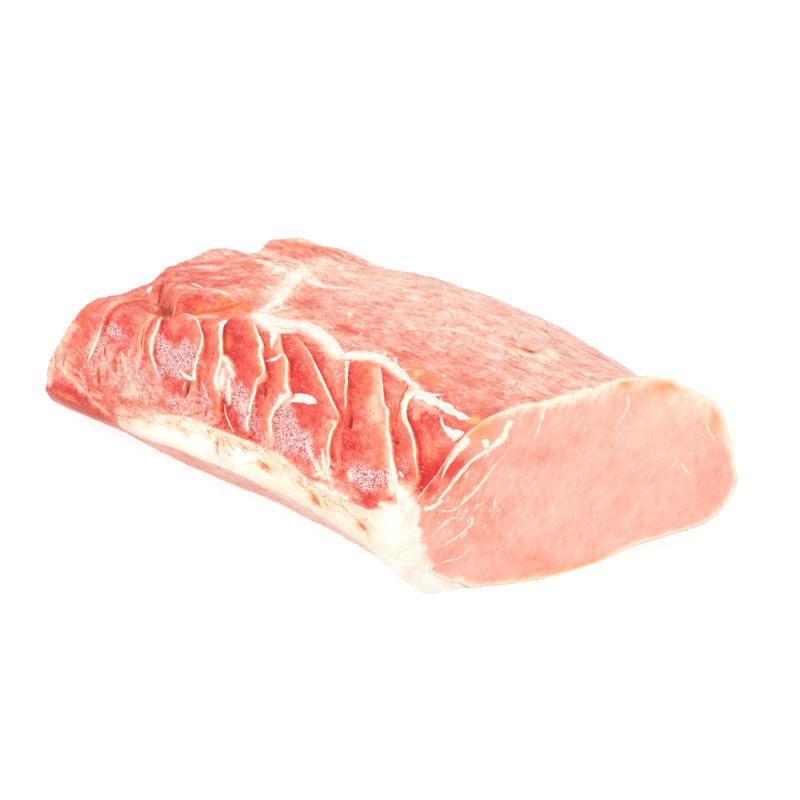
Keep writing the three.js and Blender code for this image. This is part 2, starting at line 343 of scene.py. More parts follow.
edges_at_rest = np.concatenate([[0], MARKS_AT_REST, [1]])
row_counts = np.maximum(np.round(np.diff(edges_at_rest) * ROWS), PAD_ROWS_LEAST).astype(int)
row_pad = np.repeat(np.arange(len(row_counts)), row_counts)
row_share = np.concatenate([np.linspace(0, 1, count) for count in row_counts])
row_rest = edges_at_rest[row_pad] + row_share * np.diff(edges_at_rest)[row_pad]

fat_low = eased_through(FAT_LOW, row_rest)
fat_high = eased_through(FAT_HIGH, row_rest)
columns = [fat_low[:, None] + (fat_high - fat_low)[:, None] * np.arange(FAT_COLUMNS) / FAT_COLUMNS]
start = fat_high[:, None]
for station, count in [*ARCS, (STATIONS + fat_low[:, None], SOLE_COLUMNS)]:
    columns.append(start + (station - start) * np.arange(count) / count)
    start = np.broadcast_to(station, start.shape)
v = np.concatenate(columns, axis=1)
turn = np.mod(v, STATIONS)

marks = np.concatenate([np.zeros((1, *v.shape)), marks_at(turn), np.ones((1, *v.shape))])
every_row = np.arange(len(row_pad))
row_start = marks[row_pad, every_row] + np.where(row_pad > 0, PAD_DROP / LENGTH, 0)[:, None]
row_end = marks[row_pad + 1, every_row] - np.where(row_pad < len(RIB_MARKS), 1e-6, 0)[:, None]
s = row_start + row_share[:, None] * (row_end - row_start)

fat_share = np.arange(v.shape[1]) / FAT_COLUMNS * np.ones((len(s), 1))
in_groove = (fat_share <= 1) & (row_rest >= FAT_TIP)[:, None]
groove = np.where(in_groove, -FAT_GAP - fat_depth(s, np.minimum(fat_share, 1)), 0)


LINE_STEPS = 40


def line_distance(points):
    """Millimetres on the flat skin from each grid point to the smooth line through the (share, station)
    points, and the share of the line where it is nearest."""
    line = drawn(points, LINE_STEPS)
    line = flat(line[:, 0], line[:, 1])
    here = flat(s, turn)
    best = np.full(s.shape, np.inf)
    where = np.zeros(s.shape)
    for k in range(len(line) - 1):
        step = line[k + 1] - line[k]
        t = np.clip(((here - line[k]) @ step) / (step @ step), 0, 1)
        gap = np.linalg.norm(here - line[k] - t[..., None] * step, axis=-1)
        where = np.where(gap < best, (k + t) / (len(line) - 1), where)
        best = np.minimum(best, gap)
    return best, where


# Thin cream veils of fat and sinew: (points as share and station, half widths in millimetres along the line)
VEILS = [
    ([(0.367, 6.06), (0.345, 6.35), (0.312, 6.6), (0.29, 6.85), (0.285, 7.1), (0.225, 7.7)],
      (3, 3.5, 4.5, 5, 4, 2.5)),
    ([(0.15, 6.9), (0.224, 6.79), (0.267, 6.72)], (1.2, 2.4, 3)),
    ([(0.30, 6.85), (0.33, 6.8), (0.37, 6.88), (0.44, 7.0)], (3, 2.2, 1.4, 0.8)),
    ([(0.375, 6.05), (0.387, 6.2), (0.385, 6.32)], (2.4, 2, 1)),
    ([(0.45, 4.35), (0.462, 4.1), (0.475, 3.9)], (1, 2.2, 1.4)),
    ([(0.633, 6.45), (0.66, 6.65), (0.70, 6.77), (0.80, 6.8), (0.86, 6.86)], (0.4, 0.7, 0.8, 0.8, 0.6)),
    ([(0.365, 5.95), (0.40, 5.9), (0.44, 5.86), (0.50, 5.92), (0.57, 5.8), (0.65, 5.54)],
      (1.5, 5, 6, 3.8, 3.2, 2.8)),
    ([(0.415, 5.8), (0.45, 5.67), (0.48, 5.69), (0.505, 5.78)], (2.2, 2.2, 2, 1.4)),
    ([(0.658, 5.55), (0.67, 5.66), (0.685, 5.74), (0.705, 5.8), (0.75, 5.74), (0.79, 5.62)],
      (2.2, 2.8, 2.8, 2.2, 1.8, 1.2)),
    ([(0.808, 5.62), (0.827, 5.58), (0.845, 5.45)], (1.2, 2.2, 2)),
    ([(0.62, 4.28), (0.632, 4.2), (0.64, 4.3)], (1.4, 1.8, 1.6)),
    ([(0.79, 2.32), (0.83, 2.28), (0.87, 2.32)], (1.2, 2.2, 1.4)),
    ([(0.945, 2.55), (0.965, 2.6), (0.985, 2.75)], (1.4, 2, 2)),
    ([(0.735, 3.5), (0.75, 3.2), (0.78, 2.9), (0.81, 2.6)], (0.5, 0.9, 0.9, 1)),
    ([(0.44, 4.6), (0.46, 4.45), (0.485, 4.3)], (1.0, 1.8, 1.2)),
    ([(0.478, 4.2), (0.50, 3.85), (0.515, 3.6)], (1.0, 1.6, 0.8)),
    ([(0.215, 6.09), (0.245, 6.06), (0.285, 6.03)], (0.5, 0.9, 0.6)),
    ([(0.85, 3.05), (0.862, 2.9)], (1.4, 1.4)),
    ([(0.78, 3.4), (0.80, 3.0), (0.83, 2.5)], (0.6, 1.1, 1.4)),
    ([(0.94, 3.5), (0.965, 3.2), (0.99, 2.9)], (1.6, 3.4, 5)),
    ([(0.845, 6.98), (0.865, 6.99)], (2.4, 2.4)),
]
FAINT = 0.6
FAINT_VEILS = [
    ([(0.245, 1.85), (0.295, 2.03), (0.335, 2.25), (0.38, 2.45)], (2.5, 3.5, 3.5, 2.5)),
    ([(0.02, 2.9), (0.055, 2.48), (0.10, 2.25), (0.14, 2.05), (0.19, 2.15)], (1, 2, 1.6, 1.8, 1.2)),
    ([(0.10, 2.61), (0.133, 2.29), (0.159, 1.91), (0.226, 1.57)], (0.8, 1.2, 1.2, 1.0)),
    ([(0.18, 3.75), (0.215, 3.4), (0.25, 2.95), (0.285, 2.7)], (0.6, 1.2, 1.8, 2)),
    ([(0.25, 2.5), (0.27, 2.62), (0.29, 2.65)], (1.6, 2.4, 1.6)),
    ([(0.852, 5.3), (0.873, 5.1), (0.885, 5.0), (0.895, 4.92)], (2.4, 2.2, 1.2, 0.8)),
    ([(0.85, 5.3), (0.88, 5.3), (0.91, 5.25), (0.935, 5.2)], (2.4, 2.4, 2, 1.2)),
    ([(0.795, 5.0), (0.812, 4.85), (0.828, 4.7), (0.845, 4.62)], (2, 4.5, 4.5, 2)),
    ([(0.535, 3.85), (0.555, 3.7), (0.57, 3.55)], (1, 1.8, 0.8)),
    ([(0.29, 5.62), (0.30, 5.55), (0.27, 5.35)], (2.5, 2.5, 1.6)),
]
veil = np.zeros(s.shape)
for strength, lines in [(1, VEILS), (FAINT, FAINT_VEILS)]:
    for points, widths in lines:
        distance, where = line_distance(points)
        width = np.interp(where, np.linspace(0, 1, len(widths)), widths)
        veil = np.maximum(veil, strength * (1 - 0.5 * distance / width))

# More veils: a thin one with a pale haze along the upper edge of the fat, a broad one below it, and the rims
UNDER_FAT = 2.0  # how far under the fat its veils run on
BORDER_WIDTH = 0.9
HAZE = 0.24
HAZE_REACH = 5.0
FOOT_WIDTHS = (2, 16)  # below the fat, at its far end and at the near cut
RIM_VEIL = 1.2
FAR_RIM_VEIL = 0.62
beside_fat = flat(s, turn)[..., 1] - flat(s, fat_high[:, None] + 0 * s)[..., 1]
border = np.where(beside_fat > -UNDER_FAT, 1 - 0.5 * np.abs(beside_fat) / BORDER_WIDTH, 0)
haze = HAZE * np.exp(-np.abs(beside_fat) / HAZE_REACH) * (1 - 0.4 * eased(s, 0.8, 0.86))
border = np.maximum(border, haze * (turn < 4))
below_fat = flat(s, fat_low[:, None] + 0 * s)[..., 1] - flat(s, turn)[..., 1]
foot_width = FOOT_WIDTHS[0] + (FOOT_WIDTHS[1] - FOOT_WIDTHS[0]) * eased(s, 0.55, 0.95)
foot = np.where((below_fat > -UNDER_FAT) & (turn < 3), 0.75 - 0.5 * np.abs(below_fat) / foot_width, 0)
veil = np.maximum(veil, np.maximum(border * eased(s, 0.28, 0.45), foot * eased(s, 0.5, 0.75)))
rim_veil = RIM_VEIL * eased(s, 0.984, 0.995) * eased(turn, 5.5, 6.0) * (1 - eased(turn, 10.4, 11))
far_rim_veil = FAR_RIM_VEIL * (1 - eased(s, 0.015, 0.045))
far_rim_veil = far_rim_veil * eased(turn, 1.2, 1.8) * (1 - eased(turn, 3.6, 4.4))
veil = np.maximum(veil, np.maximum(rim_veil, far_rim_veil))

# The pale lip of lean below the fat, which turns under to the sole
from_toe = np.where(turn > 0.5 * STATIONS, turn - STATIONS, turn)
on_lip = eased(s, 0.1, 0.3) * eased(from_toe, -1.2, -0.4) * (1 - eased(from_toe, 1.4, 2.0))

# Wet rough patches: grit in the relief, and painted glints of white and dark red specks
GLINT_PATCHES = [
    (0.12, 4.25, 8, 5, -0.5), (0.287, 4.24, 9, 6, -0.6), (0.335, 4.1, 12, 8, -0.7),
    (0.365, 4.35, 8, 6, -0.7), (0.481, 4.09, 7, 7, -0.8), (0.534, 3.88, 9, 7, -0.8),
    (0.565, 3.6, 7, 7, -0.8), (0.74, 3.35, 6, 7, -0.8), (0.64, 4.03, 8, 6, -0.8),
    (0.66, 3.7, 11, 8, -0.8), (0.69, 3.4, 13, 8, -0.9), (0.89, 3.12, 12, 6, -0.6),
    (0.934, 3.38, 6, 5, -0.6), (0.266, 4.32, 4, 8, -0.7), (0.308, 3.85, 5, 7, -0.8),
    (0.332, 4.5, 5, 5, -0.7),
]
FAINT_GLINT_PATCHES = [
    (0.258, 3.44, 14, 8, -0.6), (0.256, 2.7, 14, 6, 0), (0.45, 3.4, 12, 7, -0.8),
    (0.109, 3.83, 6, 6, -0.6), (0.203, 3.94, 5, 5, -0.6), (0.159, 3.34, 6, 6, -0.6),
    (0.538, 3.82, 6, 6, -0.8), (0.60, 3.3, 10, 8, -0.8), (0.16, 4.1, 8, 7, -0.6), (0.40, 2.9, 16, 5, 0),
    (0.95, 3.9, 5, 6, -0.8),
]
FAINT_GLINT = 0.55
grit_and_painted_glint = np.maximum(spots(s, turn, GLINT_PATCHES), FAINT_GLINT * spots(s, turn, FAINT_GLINT_PATCHES))

# Places webbed with threads of fat
WEBS = [
    (0.13, 3.25, 16, 12, -0.6), (0.22, 3.15, 16, 11, -0.6), (0.3, 2.9, 20, 8, 0), (0.42, 2.9, 20, 6, 0),
    (0.49, 2.85, 10, 5, 0), (0.67, 2.95, 14, 6, 0), (0.8, 2.9, 10, 6, 0), (0.9, 3.1, 9, 6, 0, 0.7),
    (0.44, 3.5, 6, 8, -0.8, 0.6),
]
web = spots(s, turn, WEBS) * (turn > 2)

# Deep places: dents in the relief, painted nearly brown as painted shade
SHADED_CREVICES = [
    (0.152, 2.75, 1.6, 4.5, -1.3), (0.184, 3.23, 1.6, 3.5, -1.3), (0.785, 4.35, 1.4, 4, -0.8),
    (0.402, 3.5, 1.8, 4, -0.5), (0.573, 4.25, 1.4, 4, -0.9), (0.893, 4.35, 3, 1.2, -0.5, 0.8),
    (0.068, 6.08, 2.4, 5, -0.6, 0.8), (0.105, 5.87, 5, 2.2, -1.5, 0.8), (0.16, 5.66, 6, 2, -2, 0.7),
    (0.815, 6.98, 4, 1.6, 0),
]
HOLLOW_SHADE = 0.4
hollow_shade = bell(turn, cap_edge(s) + 0.14, 0.12) * eased(s, 0.05, 0.09) * (1 - eased(s, 0.19, 0.23))
shaded_crevice = np.maximum(spots(s, turn, SHADED_CREVICES), HOLLOW_SHADE * hollow_shade)

# Orange, translucent places; the strongest are amber
GLOWS = [
    (0.79, 5.88, 6, 4, -0.6, 1), (0.822, 5.89, 5, 3.5, -0.6, 0.7), (0.835, 6.96, 7, 3, 0, 0.8),
    (0.985, 5.3, 7, 3, 0, 1), (0.265, 5.68, 7, 2, -1, 0.8), (0.3, 5.93, 8, 2.4, -1.2, 0.9),
    (0.245, 6.4, 6, 4, 0, 0.6), (0.08, 1.42, 14, 4, -1.2, 0.7), (0.18, 1.6, 16, 4, -1, 0.4),
    (0.01, 4.6, 5, 12, 0, 0.5), (0.322, 6.05, 5, 3, -1, 0.75), (0.967, 4.5, 4, 4, -0.8, 0.5),
    (0.888, 5.25, 5, 3, -0.6, 0.5), (0.05, 8.0, 16, 8, 0, 0.6), (0.13, 8.05, 12, 5, 0, 0.5),
    (0.15, 6.75, 12, 3, 0, 0.5), (0.825, 4.8, 8, 6, -1.5, 0.7), (0.425, 4.9, 4, 7, -1.3, 0.5),
    (0.81, 5.5, 3, 2.5, -1, 0.7),
]
glow = spots(s, turn, GLOWS)

# Distance of each point from the ridge of its pad and from the one before, square to the ridge
pad, before, after = pad_of(s, turn)
around_step = 0.02
lean_over = (marks_at(turn + around_step) - marks_at(turn - around_step)) * LENGTH
lean_over = np.concatenate([0 * lean_over[:1], lean_over, 0 * lean_over[:1]])
lean_over = np.take_along_axis(lean_over, pad[None] + 1, axis=0)[0]
across_step = flat(s, turn + around_step)[..., 1] - flat(s, turn - around_step)[..., 1]
square_on = 1 / np.hypot(1, lean_over / np.maximum(across_step, 1e-3))
to_crest = (after - s) * LENGTH * square_on
from_foot = (s - before) * LENGTH * square_on
on_ribs = above_foot(s, turn) * (1 - eased(turn, 5.5, 6.0))
# Painted light along each ridge: orange, then pale, on the pad just before it
halo = on_ribs * np.array(RIDGE_LIGHT_SHARES)[pad] * np.exp(-to_crest / np.array(RIDGE_LIGHT_WIDTHS)[pad])

# Places redder or paler than their pad, each a spot followed by its change of tone. Those in the hollow under
# the cap's lip, at (0.125, 5.8), (0.18, 5.64) and (0.241, 5.7), are painted shade
BLUSHES_AND_SHADES = [
    (0.993, 3.95, 8, 9, -0.8, -0.4), (0.915, 4.98, 12, 6, -1.1, -0.25), (0.957, 4.45, 5, 6, -0.8, 0.35),
    (0.735, 5.4, 8, 5, -1.5, -0.2), (0.655, 5.33, 4, 5, -1.2, 0.3), (0.685, 4.95, 3, 5, -1.4, 0.25),
    (0.83, 3.5, 10, 6, -0.8, 0.3), (0.922, 2.7, 5, 4, 0, -0.25), (0.12, 1.25, 20, 4, -0.5, -0.8),
    (0.21, 2.25, 9, 6, 0, 0.25), (0.055, 2.6, 8, 10, 0, 0.28), (0.58, 3.1, 9, 5, -0.8, -0.42),
    (0.592, 3.53, 5, 5, -0.8, -0.2), (0.136, 5.92, 5, 3, -1, -0.15), (0.214, 5.5, 5, 3, -1, 0.35),
    (0.268, 5.34, 5, 4, -1, 0.3), (0.297, 5.58, 6, 3, -1, 0.4), (0.41, 5.1, 12, 5, -1.4, -0.2),
    (0.15, 4.45, 8, 9, -0.7, -0.24), (0.565, 5.6, 8, 4, -1, 0.2), (0.826, 3.84, 7, 6, -0.8, -0.4),
    (0.889, 4.05, 4, 6, -0.8, -0.35), (0.925, 4.43, 4, 5, -0.8, -0.1), (0.79, 5.0, 6, 4, -1.5, -0.15),
    (0.912, 2.5, 6, 5, 0, -0.3), (0.068, 3.96, 6, 7, 0, -0.15), (0.05, 4.9, 4, 6, -0.7, -0.2),
    (0.404, 2.75, 6, 4, 0, -0.2), (0.306, 3.33, 4, 6, -0.8, -0.22), (0.1, 1.55, 24, 6, -1.1, -0.5),
    (0.2, 1.85, 14, 6, -0.6, -0.28), (0.125, 5.8, 7, 5, -1, -0.4), (0.18, 5.64, 7, 4, 0, -0.35),
    (0.241, 5.7, 5, 4, 0, -0.3), (0.238, 6.35, 4, 3, 0, -0.25), (0.07, 5.05, 6, 12, -0.7, 0.3),
    (0.15, 6.2, 18, 7, 0, -0.15), (0.326, 6.06, 5, 4, 0, -0.3), (0.0, 6.25, 6, 5, 0, -0.15),
    (0.06, 6.12, 6, 7, -0.6, -0.32), (0.14, 6.81, 10, 6, 0, -0.15), (0.09, 7.98, 16, 9, 0, -0.45),
    (0.34, 8.1, 30, 10, 0, -0.06), (0.359, 6.64, 8, 4, 0, -0.15), (0.402, 6.45, 8, 4, -0.6, -0.25),
    (0.57, 6.13, 8, 3, -0.5, -0.22), (0.733, 6.03, 8, 5, -1, -0.22), (0.878, 6.1, 14, 4, -0.6, -0.15),
    (0.9, 5.68, 12, 4, -0.5, 0.2), (0.7, 6.55, 16, 5, -0.5, 0.14), (0.742, 6.78, 12, 4, 0, 0.1),
    (0.97, 4.8, 9, 4, -1, 0.3), (0.892, 4.9, 4, 5, -1.2, 0.15), (0.825, 4.75, 7, 6, -1.2, 0.3),
    (0.87, 4.3, 5, 5, -0.8, 0.1), (0.914, 3.97, 3, 6, -0.8, 0.25), (0.8, 5.29, 5, 4, -1.4, 0.25),
    (0.619, 4.92, 5, 6, -1.3, -0.3), (0.505, 3.2, 6, 6, -0.8, -0.25), (0.665, 5.42, 4, 5, -1.2, 0.1),
    (0.7, 5.03, 3, 8, -1.4, 0.2), (0.63, 4.45, 3, 5, -1.2, 0.3), (0.573, 4.31, 3, 5, -1, 0.2),
    (0.4, 4.2, 4, 6, -0.8, 0.3), (0.347, 3.34, 4, 6, -0.9, 0.2), (0.3, 3.8, 4, 7, -0.9, 0.25),
    (0.254, 4.32, 3, 7, -0.8, 0.3), (0.245, 5.05, 5, 6, -1.2, 0.2), (0.203, 3.94, 4, 5, 0, 0.2),
    (0.109, 3.83, 6, 6, 0, 0.15), (0.23, 3.1, 26, 6, 0, 0.1),
]
blush_and_shade = sum(change * spot(s, turn, *place) for *place, change in BLUSHES_AND_SHADES)

# The tone of the skin, from 0 deep red to 1 pale peach. A pad is paler towards its ridge as painted light
# and redder at its foot as painted shade. The top is pale, but redder on the cap, down the back and low at
# the far end. The lip pales towards the near cut.
RIB_TONE = 0.36
TOP_TONE = 0.76
LIP_TONE = 0.54
rib_tone = RIB_TONE + np.array(PAD_TONES)[pad]
# Painted light paler towards the ridge, and painted shade redder at the foot of each pad
rib_tone = rib_tone + 0.3 * np.exp(-to_crest / 5.5) - 0.36 * np.exp(-from_foot / 3.5)
skin_tone = TOP_TONE + 0.1 * eased(turn, 6.3, 7.5) - 0.07 * bell(turn, 6.0, 0.5) * eased(s, 0.3, 0.5)
skin_tone = skin_tone - 0.2 * (1 - eased(s, 0.2, 0.36)) * bell(turn, 6.2, 1.2)
skin_tone = skin_tone - 0.1 * eased(turn, 9, 10.5)
skin_tone = skin_tone - (0.32 - 0.2 * eased(s, 0.2, 0.5)) * (turn < 4.5)
lip_tone = LIP_TONE + 0.14 * eased(s, 0.1, 0.35) + 0.17 * eased(s, 0.45, 0.62)
lip_tone = lip_tone + 0.1 * np.exp(-np.maximum(below_fat, 0) / 4)
skin_tone = skin_tone + on_lip * (lip_tone - skin_tone)
# The wrinkles are painted paler on their crests as painted light and redder in their troughs as painted shade
tone = on_ribs * rib_tone + (1 - on_ribs) * skin_tone + blush_and_shade + 0.16 * wrinkles(s, v) - 0.16 * web
tone = tone + 0.07 * lumps(s, v, 14, 10) + 0.06 * on_ribs * lumps(s, v, 9, 4)
on_cap = (1 - eased(s, 0.25, 0.34)) * eased(turn, 5.7, 6.0) * (1 - eased(turn, 8.5, 9.5))
tone = tone + on_cap * (0.2 * lumps(s, v, 10, 3.2) + 0.16 * lumps(s, v, 5, 2.2))

GLINT_PATCH_GRIT = 0.3  # height of the grit where the skin sparkles
CREVICE_DEPTH = 1.2
rough_skin = GLINT_PATCH_GRIT * grit_and_painted_glint * lumps(s, v, 1.8, 1.6) - CREVICE_DEPTH * shaded_crevice
push = np.where(in_groove, groove, rough_skin)
skin_points = skin(s, v, relief(s, v) + push)

# The near cut sags forward at its foot, or is drawn in where below 0: (across, half width, millimetres)
SAGS = [(-14, 22, 5.0), (64, 14, 6.0), (30, 12, -2.0)]
SAG_FADE = (4, 40)  # heights between which it fades out
CUT_WAVE = 0.2
SHARP_ANGLE = np.radians(55)


def sag(across, up):
    """How far the foot of the near cut stands forward: bells across the loin that fade out upwards."""
    sagging = sum(depth * bell(across, middle, width) for middle, width, depth in SAGS)
    return (1 - eased(up, *SAG_FADE)) * sagging


def cut_waves(across, up, facing):
    """How far a knife cut stands proud of its plane: three crossing waves, and the sag at the near one."""
    broad = np.sin(across / 9 + up / 13) + 0.6 * np.sin(across / 5 - up / 6 + 1)
    narrow = 0.4 * np.sin(up / 3.5 + across / 17)
    return CUT_WAVE * (broad + narrow) + (facing > 0) * sag(across, up)


def cut_points(rim, middle_x, facing):
    """A cut across the loin: rings that shrink evenly from the rim to the middle, with the waves added."""
    middle = np.array((middle_x, 0, CUT_MIDDLE))
    share = 1 - (np.arange(1, RINGS) / RINGS)[:, None, None]
    rings = np.concatenate([(middle + (rim - middle) * share).reshape(-1, 3), middle[None]])
    rings[:, 0] += facing * cut_waves(rings[:, 1], rings[:, 2], facing)
    return rings


far_cut = cut_points(skin_points[0], FAR_CUT_X, -1)
near_cut = cut_points(skin_points[-1], FAR_CUT_X + LENGTH, 1)
skin_points[..., 0] += eased(s, 0.85, 1) * sag(skin_points[..., 1], skin_points[..., 2])

row_count, column_count = s.shape
numbers = np.arange(row_count * column_count).reshape(row_count, column_count)
ring_numbers = np.arange((RINGS - 1) * column_count).reshape(RINGS - 1, column_count)
far_rings = np.concatenate([numbers[:1], numbers.size + ring_numbers])
far_middle = numbers.size + ring_numbers.size
near_rings = np.concatenate([numbers[-1:], far_middle + 1 + ring_numbers])
near_middle = far_middle + 1 + ring_numbers.size


def strip_of_quads(rows):
    """Quads between rows of point numbers, each row closing on itself."""
    around = np.roll(rows, -1, axis=1)
    return np.stack([rows[:-1], rows[1:], around[1:], around[:-1]], axis=-1).reshape(-1, 4)


def fan(ring, middle):
    """Triangles between a closed ring of point numbers and the number of a middle point."""
    return np.stack([ring, np.full(ring.shape, middle), np.roll(ring, -1)], axis=-1)


skin_faces = strip_of_quads(numbers)
cut_quads = np.concatenate([strip_of_quads(far_rings[::-1]), strip_of_quads(near_rings)])
cut_fans = np.concatenate([fan(far_rings[-1], far_middle)[:, ::-1], fan(near_rings[-1], near_middle)])


def mesh_piece(name, points, faces, fields=()):
    """An object at the origin from points in millimetres, faces, and one number per point for each named
    field; it is shaded smooth except over sharp edges."""
    mesh = bpy.data.meshes.new(name)
    mesh.from_pydata(points * MM, [], [face for group in faces for face in group.tolist()])
    for field, values in dict(fields).items():
        numbers_of_points = mesh.attributes.new(field, "FLOAT", "POINT").data
        numbers_of_points.foreach_set("value", values.astype(np.float32).ravel())
    mesh.shade_smooth()
    mesh.set_sharp_from_angle(angle=SHARP_ANGLE)
    piece = bpy.data.objects.new(name, mesh)
    bpy.context.collection.objects.link(piece)
    return piece


# Width of the pale edge of a cut: (station, millimetres)
RIM_WIDTHS = np.array([
    (0, 1.6), (2, 0.5), (3.2, 0.5), (4, 0.4), (4.8, 0.6), (5.3, 1.4), (5.8, 2.8), (6.3, 3.8), (7, 4.6),
    (7.7, 7.0), (8.4, 8.0), (9.2, 5.0), (10, 2.2), (12, 1.8), (14, 2.2), (15, 1.6),
])
# Tinted places of a cut: (across, up, half width, half height), and for tones the change too
CUT_GLOWS = [(-36, 63, 7, 3.6), (25, 73, 5, 3), (67, 54, 4, 9), (45, 69, 14, 4), (10, 1, 40, 2.5)]
CUT_TONE = 0.5
CUT_TONES = [
    (65, 22, 9, 12, -0.08), (35, 34, 12, 5, -0.14), (-47, 50, 7, 6, -0.62), (-57, 43, 4, 5, -0.6),
    (-38, 46, 8, 5, -0.2), (-20, 8, 12, 8, -0.2), (-25, 32, 14, 10, -0.14), (24, 52, 10, 8, 0.15),
    (33, 42, 9, 8, 0.08), (-9, 51, 8, 6, -0.12), (-48, 36, 12, 11, -0.2), (43, 60, 20, 9, 0.2),
    (0, 30, 25, 9, 0.1), (60, 40, 9, 7, 0.1), (-20, 40, 9, 7, 0.08),
]


def rim_share(points, rim, stations):
    """1 at the rim of a cut, falling by 1 over the width of its pale edge there."""
    gaps = np.array([np.linalg.norm(points[:, 1:] - corner[1:], axis=1) for corner in rim])
    nearest = gaps.argmin(axis=0)
    return 1 - gaps.min(axis=0) / np.interp(stations[nearest], RIM_WIDTHS[:, 0], RIM_WIDTHS[:, 1])


def cut_spot(points, across, up, half_width, half_height):
    """A bell-shaped spot of height 1 on a cut."""
    return bell(points[:, 1], across, half_width) * bell(points[:, 2], up, half_height)


def cut_tint(points):
    """Tone of a cut: that of its ground plus the tinted places."""
    return CUT_TONE + sum(change * cut_spot(points, *place) for *place, change in CUT_TONES)


def cut_glow(points):
    """How orange a cut is: the strongest of its spots at each point."""
    return np.max([cut_spot(points, *place) for place in CUT_GLOWS], axis=0)


def with_cuts(values, far, near):
    """A field of the whole block: its values on the skin, then those of the far and the near cut."""
    ends = np.broadcast_to(far, len(far_cut)), np.broadcast_to(near, len(near_cut))
    return np.concatenate([values.ravel(), *ends])


rims = [rim_share(far_cut, skin_points[0], turn[0]), rim_share(near_cut, skin_points[-1], turn[-1])]
lean = mesh_piece(
    "lean_meat",
    np.concatenate([skin_points.reshape(-1, 3), far_cut, near_cut]),
    [skin_faces, cut_quads, cut_fans],
    {
        "tone": with_cuts(tone, cut_tint(far_cut), cut_tint(near_cut)),
        "veil": with_cuts(veil, 0, 0),
        "halo": with_cuts(halo, 0, 0),
        "side": with_cuts(on_ribs, 0, 0),
        "grit_and_painted_glint": with_cuts(grit_and_painted_glint, 0, 0),
        "shaded_crevice": with_cuts(shaded_crevice, 0, 0),
        "web": with_cuts(web, 0, 0),
        "lip": with_cuts(on_lip, 0, 0),
        "glow": with_cuts(glow, cut_glow(far_cut), cut_glow(near_cut)),
        "rim": with_cuts(0 * s + 1, *rims),
    },
)
cut_slot = np.repeat([0, 1], [len(skin_faces), len(cut_quads) + len(cut_fans)])
lean.data.polygons.foreach_set("material_index", cut_slot)


